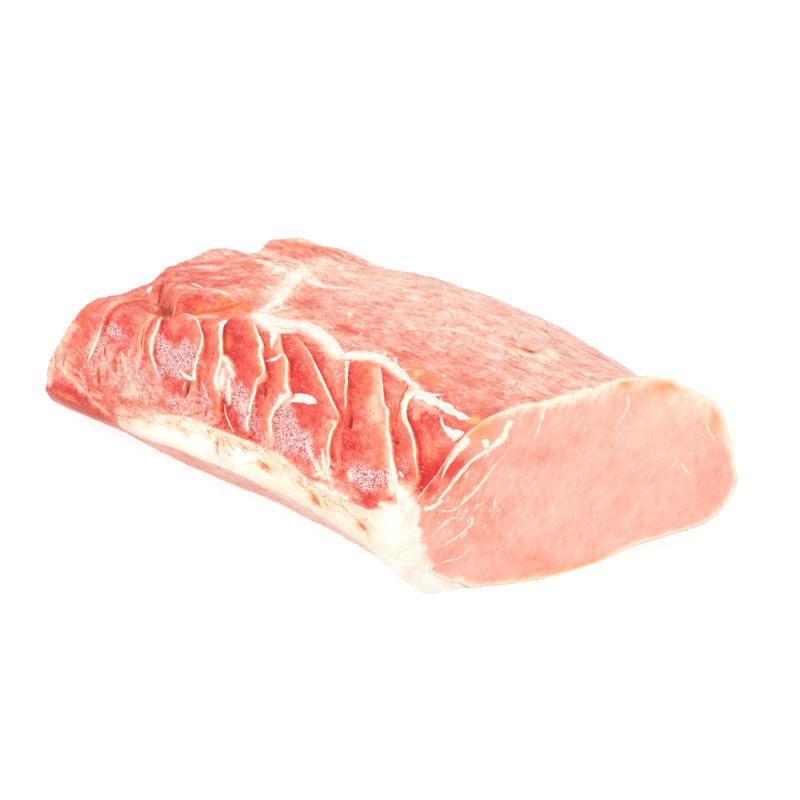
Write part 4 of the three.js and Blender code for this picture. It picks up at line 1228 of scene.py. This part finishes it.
membrane_bands = [(ridge_loops(mark, knots), RIDGE_WHITENESS) for mark, knots in RIDGE_BANDS]
membrane_bands += [(loose_loops(knots), whiteness) for whiteness, knots in LOOSE_BANDS]
for share, station, half in FLECKS:
    run = half * FLECK_RUN
    fleck = [(share - run, station + FLECK_RISE, FLECK_TIP), (share, station, half),
             (share + run, station - FLECK_RISE, FLECK_TIP)]
    membrane_bands.append((loose_loops(fleck), FLECK_WHITENESS))
for line, count, reach in STREAMERS:
    for start in drawn(line, count):
        run = reach / LENGTH * ragged_draw.uniform(0.4, 1.2)
        drift = ragged_draw.normal(0, 0.05, 2)
        half = ragged_draw.uniform(0.2, 0.8)
        share, station = start + ragged_draw.normal(0, 0.4, 2) * (run, 0.15)
        streamer = [(share, station, STREAMER_TIP), (share + run / 3, station + drift[0], half),
                    (share + run, station + drift[1], STREAMER_TIP)]
        loops = loose_loops(streamer, STREAMER_THICKNESS)
        membrane_bands.append((loops, ragged_draw.uniform(0.5, 1)))
membranes = bands_piece("membranes", membrane_bands)


MEMBRANE_WHITE = (0.95, 0.90, 0.80)
MEMBRANE_PEACH = (0.94, 0.62, 0.42)
MEMBRANE_LILAC = (0.94, 0.68, 0.66)
MEMBRANE_EDGE = (0.94, 0.52, 0.40)
MEMBRANE_THIN = (0.94, 0.50, 0.28)


def membrane_finish():
    """Cream to white, with a lilac tinge along the middle of the whitest bands, peach at the edges, and
    orange where a ridge's band thins out to the left."""
    it = Finish("torn_membrane")
    clouds = it.grain((6, 5, 5), 3)
    fine = it.grain((1.6, 1.0, 1.0), 3, 0.6)
    threads = it.grain((5, 0.9, 0.9), 3, 0.55, warp=0.5)
    amount = it.field("amount")
    edge = it.field("edge")
    white = it.step(it.rough(amount, (clouds, 0.9), (fine, 0.5)), 0.0, 0.7)
    colour = it.mixed(white, MEMBRANE_PEACH, MEMBRANE_WHITE)
    inner = it.times(it.step(edge, 0.8, 0.3), it.step(amount, 0.7, 1.0))
    colour = it.mixed(it.times(inner, it.step(threads, 0.36, 0.56, 0.1, 0.95)), colour, MEMBRANE_LILAC)
    worn_edge = it.step(it.rough(edge, (fine, 0.9), (threads, 0.6)), 0.8, 1.2, 0, 0.8)
    colour = it.mixed(worn_edge, colour, MEMBRANE_EDGE)
    left = it.step(it.rough(it.field("across"), (fine, 0.6)), 0.0, -0.9)
    thin = it.times(it.step(amount, 0.9, 0.6), left)
    colour = it.mixed(it.times(thin, 0.8), colour, MEMBRANE_THIN)
    height = it.sum(it.times(clouds, 0.3), it.times(fine, 0.5), it.times(threads, 0.6))
    return it.surface(colour, it.step(fine, 0.3, 0.7, 0.36, 0.5), height, 0.4, 0.2, 0.05)


membranes.data.materials.append(membrane_finish())
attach(membranes, "root")

# The crease shades
# Sheets laid in the folds of the lean and the fat as painted shade: dark red threads, warming to orange-red
# painted light where the light comes through. Each is a film in its fold.

# Each as (warmth, [(share of the length, station, half width)])
CREASE_SHADES = [
    (0.3, [(0.143, 2.95, 0.4), (0.153, 2.75, 0.8), (0.168, 2.53, 0.4)]),
    (0.8, [(0.168, 3.38, 0.4), (0.184, 3.23, 0.8), (0.198, 3.11, 0.3)]),
    (0.2, [(0.125, 3.64, 0.3), (0.135, 3.5, 0.5), (0.145, 3.4, 0.2)]),
    (0.7, [(0.013, 2.81, 0.3), (0.025, 2.57, 0.5), (0.033, 2.34, 0.2)]),
    (0.7, [(0.038, 2.96, 0.3), (0.043, 2.76, 0.6), (0.048, 2.56, 0.2)]),
    (0.8, [(0.243, 5.57, 0.5), (0.256, 5.64, 1.5), (0.27, 5.72, 1.4), (0.285, 5.82, 1.2),
           (0.30, 5.93, 1.1), (0.315, 6.06, 0.4)]),
    (0.15, [(0.084, 6.16, 0.3), (0.08, 6.08, 1.2), (0.074, 6.02, 1.0), (0.073, 5.96, 0.3)]),
    (0.15, [(0.085, 5.93, 0.3), (0.11, 5.83, 0.9), (0.14, 5.71, 1.0), (0.17, 5.6, 0.8),
            (0.192, 5.52, 0.3)]),
    (0.3, [(0.228, 6.33, 0.3), (0.24, 6.34, 0.8), (0.256, 6.36, 0.3)]),
    (0.6, [(0.813, 5.54, 0.3), (0.832, 5.3, 0.8), (0.85, 5.07, 0.7), (0.866, 4.82, 0.5),
           (0.878, 4.62, 0.3)]),
    (0.3, [(0.03, 1.6, 0.4), (0.055, 1.42, 1.3), (0.08, 1.28, 1.9), (0.11, 1.24, 1.9),
           (0.14, 1.26, 1.5), (0.17, 1.3, 0.9), (0.21, 1.3, 0.2)]),
    (1.0, [(0.798, 6.96, 0.3), (0.81, 6.96, 0.7), (0.823, 6.93, 0.3)]),
    (1.0, [(0.855, 7.12, 0.3), (0.859, 7.14, 0.5), (0.864, 7.13, 0.2)]),
]
# Painted shade along the foot of a ridge: (number of the mark, [(station, half width)])
FAR_RIDGE_SHADE = (1, [(4.95, 0.15), (4.68, 0.45), (4.5, 0.5), (4.33, 0.5), (4.12, 0.4), (4.0, 0.15)])
FAR_RIDGE_SHADE_WARMTH = 0.1
CREASE_SHADE_THICKNESS = 0.2
crease_shade_bands = [(loose_loops(knots, CREASE_SHADE_THICKNESS), warmth) for warmth, knots in CREASE_SHADES]
crease_shade_bands.append((ridge_loops(*FAR_RIDGE_SHADE, CREASE_SHADE_THICKNESS), FAR_RIDGE_SHADE_WARMTH))
crease_shades = bands_piece("crease_shades", crease_shade_bands)


CREASE_SHADE_REDS = [(0.0, (0.36, 0.02, 0.012)), (0.5, (0.88, 0.16, 0.02)), (1.0, (0.92, 0.40, 0.14))]
CREASE_SHADE_EDGE = (0.90, 0.28, 0.14)


def crease_shade_finish():
    """Dark red painted shade to a warm orange-red painted light, lighter at the edges."""
    it = Finish("painted_crease_shade")
    fine = it.grain((1.6, 1.2, 1.2), 3, 0.6)
    colour = it.ramp(it.rough(it.times(it.field("amount"), 0.5), (fine, 0.35)), CREASE_SHADE_REDS)
    edge = it.step(it.rough(it.field("edge"), (fine, 0.6)), 0.4, 1.0, 0, 0.8)
    colour = it.mixed(edge, colour, CREASE_SHADE_EDGE)
    return it.surface(colour, 0.4, fine, 0.4, 0.1, 0.1)


crease_shades.data.materials.append(crease_shade_finish())
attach(crease_shades, "root")

# The seams of the cuts
# Sheets of fat between the muscles, cut across by the knife, so that each shows as a cream line in the face
# of the cut, with short streaks of marbling between. They lie in the face, at both ends of the loin.

# Each as (whiteness, [(across, up, half width)])
SEAMS = [
    (1.2, [(-41, 61, 1.2), (-42.5, 59.2, 2.6), (-45.5, 56.3, 1.6), (-48, 53.3, 1.1), (-50, 50.3, 0.8),
           (-51.5, 47, 0.4)]),
    (1.2, [(-23, 65, 1.8), (-25, 62, 1.8), (-27, 58.5, 1.5), (-33, 55, 1.4), (-40, 51, 1.1),
           (-45, 46, 0.9), (-50, 41, 0.8), (-53, 38, 0.5)]),
    (1.0, [(-33, 55, 1.2), (-34, 58, 1.4), (-36, 59.5, 0.4)]),
    (0.9, [(-51, 38, 0.5), (-55, 36, 1.4), (-59, 36, 1.2)]),
    (0.7, [(-24, 55, 0.3), (-27, 51, 0.3), (-31, 47, 0.6), (-37, 40, 0.7), (-42, 36, 0.6),
           (-47, 33, 0.4), (-53, 34, 0.3)]),
    (0.8, [(-45, 30, 0.7), (-49, 29.5, 0.6), (-52, 27, 0.5), (-55, 25, 0.2)]),
    (0.7, [(-39, 29, 0.5), (-40, 26, 0.6), (-46, 22, 0.5), (-51, 20, 0.4), (-56, 19, 0.3)]),
    (0.7, [(-42, 15, 0.5), (-46, 13.5, 0.5), (-51, 13, 0.4), (-55, 12, 0.3)]),
    (0.7, [(-10, 66, 1.0), (-11, 62, 0.7), (-14, 56, 0.3)]),
    (0.5, [(26, 68, 1.2), (26, 63, 0.9), (23, 57, 0.6), (20, 51, 0.3)]),
    (0.4, [(61, 60, 0.6), (63, 54, 0.5), (63, 49, 0.6), (68, 41, 0.3)]),
    (0.5, [(48, 41, 0.3), (49, 38, 0.7), (46, 34, 0.3)]),
    (0.5, [(49, 38, 0.4), (52, 35, 0.7), (55, 31, 0.3)]),
]
FAR_SEAMS_MOVED = np.array((0.95, 0.72, 0.65))  # the seams run smaller at the far cut
SEAM_THICKNESS = 0.15
STREAKS = 140  # in each cut
STREAK_THICKNESS = 0.1
STREAK_TIP = 0.1
# Places (across, up) that the streaks spread out from, most of them towards the front
STREAK_MIDDLES = np.array([
    (-40, 22), (-34, 24), (-28, 20), (-30, 30), (-22, 34), (0, 44), (25, 46), (10, 32)])
streak_draw = np.random.default_rng(8)


def on_cut(x, facing):
    """A function that lays flat places (across, up) on the cut at x, which faces along x or against it."""
    def lay(place, lift):
        """Points on the skewed, wavy face of the cut, lifted off it."""
        across, up = place[..., 0], place[..., 1]
        along = x + across * CUT_SKEW + facing * (cut_waves(across, up, facing) + lift)
        points = np.stack([along, across, up], axis=-1)
        return points[::facing]
    return lay


def streak_knots(rim):
    """Three knots (across, up, half width) of a short streak at a random place between one of the middles and
    the rim. It slopes like the grain of the cut, and is longer and wider towards the front."""
    corner = rim[streak_draw.integers(len(rim))][1:]
    middle = streak_draw.choice(STREAK_MIDDLES)
    place = middle + (corner - middle) * 0.85 * streak_draw.random()
    slope = CUT_SLOPE + streak_draw.normal(0, 0.22)
    front = eased(place[0], 10, -45)
    reach = streak_draw.uniform(0.5, 1.6 + front) * np.array((np.cos(slope), np.sin(slope)))
    half = streak_draw.uniform(0.25, 0.45 + 0.35 * front)
    bend = streak_draw.normal(0, 0.25, 2)
    return [(*(place - reach), STREAK_TIP), (*(place + bend), half), (*(place + reach), STREAK_TIP)]


seam_bands = []
near_end = (FAR_CUT_X + LENGTH, 1, 1, skin_points[-1])
far_end = (FAR_CUT_X, -1, FAR_SEAMS_MOVED, skin_points[0])
for x, facing, moved, rim in [near_end, far_end]:
    lay = on_cut(x, facing)
    for whiteness, knots in SEAMS:
        seam_bands.append((band_loops(np.array(knots) * moved, lay, SEAM_THICKNESS), whiteness))
    for _ in range(STREAKS):
        loops = band_loops(streak_knots(rim), lay, STREAK_THICKNESS)
        seam_bands.append((loops, streak_draw.uniform(0.1, 0.9)))
seams = bands_piece("cut_seams", seam_bands)


SEAM_WHITE = (0.95, 0.86, 0.74)
SEAM_CREAM = (0.94, 0.72, 0.58)
SEAM_EDGE = (0.93, 0.62, 0.50)
SEAM_WORN = (0.92, 0.52, 0.41)


def seam_finish():
    """Cream white, fading into the pink of the cut at the edges and worn away in places."""
    it = Finish("seam_fat")
    fine = it.grain((2, 2, 2), 3, 0.6)
    amount = it.field("amount")
    colour = it.mixed(it.step(amount, 0.4, 0.9), SEAM_CREAM, SEAM_WHITE)
    edge = it.step(it.rough(it.field("edge"), (fine, 0.6)), 0.4, 1.0, 0, 0.8)
    colour = it.mixed(edge, colour, SEAM_EDGE)
    kept = it.sum(it.grain((3, 3, 3), 3, 0.6), it.times(amount, 0.2))
    colour = it.mixed(it.step(kept, 0.45, 0.62, 0.75, 0), colour, SEAM_WORN)
    return it.surface(colour, 0.45, fine, 0.2, 0.25, 0.06)


seams.data.materials.append(seam_finish())
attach(seams, "root")

# Floor, light and camera
# A plain white sweep under soft, nearly shadowless studio light, seen from the front right.
FLOOR_RADIUS = 6.0
FLOOR_DROP = 0.0002  # below the sole
FLOOR_CORNERS = 96
turns = np.linspace(0, 2 * np.pi, FLOOR_CORNERS, endpoint=False)
floor_round = FLOOR_RADIUS * np.cos(turns), FLOOR_RADIUS * np.sin(turns)
floor_ring = np.stack([*floor_round, 0 * turns - FLOOR_DROP], axis=-1)
floor = mesh_piece("floor", floor_ring / MM, [np.arange(FLOOR_CORNERS)[None]])
paper = Finish("white_paper")
paper.feed(paper.shader.inputs["Base Color"], (0.14, 0.14, 0.14))
paper.feed(paper.shader.inputs["Roughness"], 0.9)
paper.feed(paper.shader.inputs["Emission Color"], (1, 1, 1))
paper.feed(paper.shader.inputs["Emission Strength"], 0.88)
floor.data.materials.append(paper.material)


def soft_light(name, place, size, power):
    """A square lamp that shines from a place at the middle of the meat."""
    lamp = bpy.data.lights.new(name, "AREA")
    lamp.size = size
    lamp.energy = power
    made = bpy.data.objects.new(name, lamp)
    made.location = place
    made.rotation_euler = (LIT_MIDDLE - Vector(place)).to_track_quat("-Z", "Y").to_euler()
    bpy.context.collection.objects.link(made)


LIT_MIDDLE = Vector((0, 0, 0.03))
soft_light("key", place=(-0.2, -1.2, 1.7), size=1.2, power=16)
soft_light("fill", place=(1.8, -0.3, 1.2), size=1.4, power=6.5)
scene = bpy.context.scene
scene.world = bpy.data.worlds.new("studio")
scene.world.use_nodes = True
sky = scene.world.node_tree.nodes["Background"].inputs
sky["Color"].default_value = (1, 1, 1, 1)
sky["Strength"].default_value = 0.85
scene.view_settings.view_transform = "Standard"

CAMERA_PLACE = Vector((0.7161, -0.4814, 0.3278))
VIEW_AZIMUTH = np.radians(55)
VIEW_ELEVATION = np.radians(19)
lens = bpy.data.cameras.new("camera")
lens.lens = 94.5
lens.sensor_width = 36
camera = bpy.data.objects.new("camera", lens)
camera.location = CAMERA_PLACE
level = np.cos(VIEW_ELEVATION)
looking = Vector((-np.sin(VIEW_AZIMUTH) * level, np.cos(VIEW_AZIMUTH) * level, -np.sin(VIEW_ELEVATION)))
camera.rotation_euler = looking.to_track_quat("-Z", "Y").to_euler()
bpy.context.collection.objects.link(camera)
scene.camera = camera
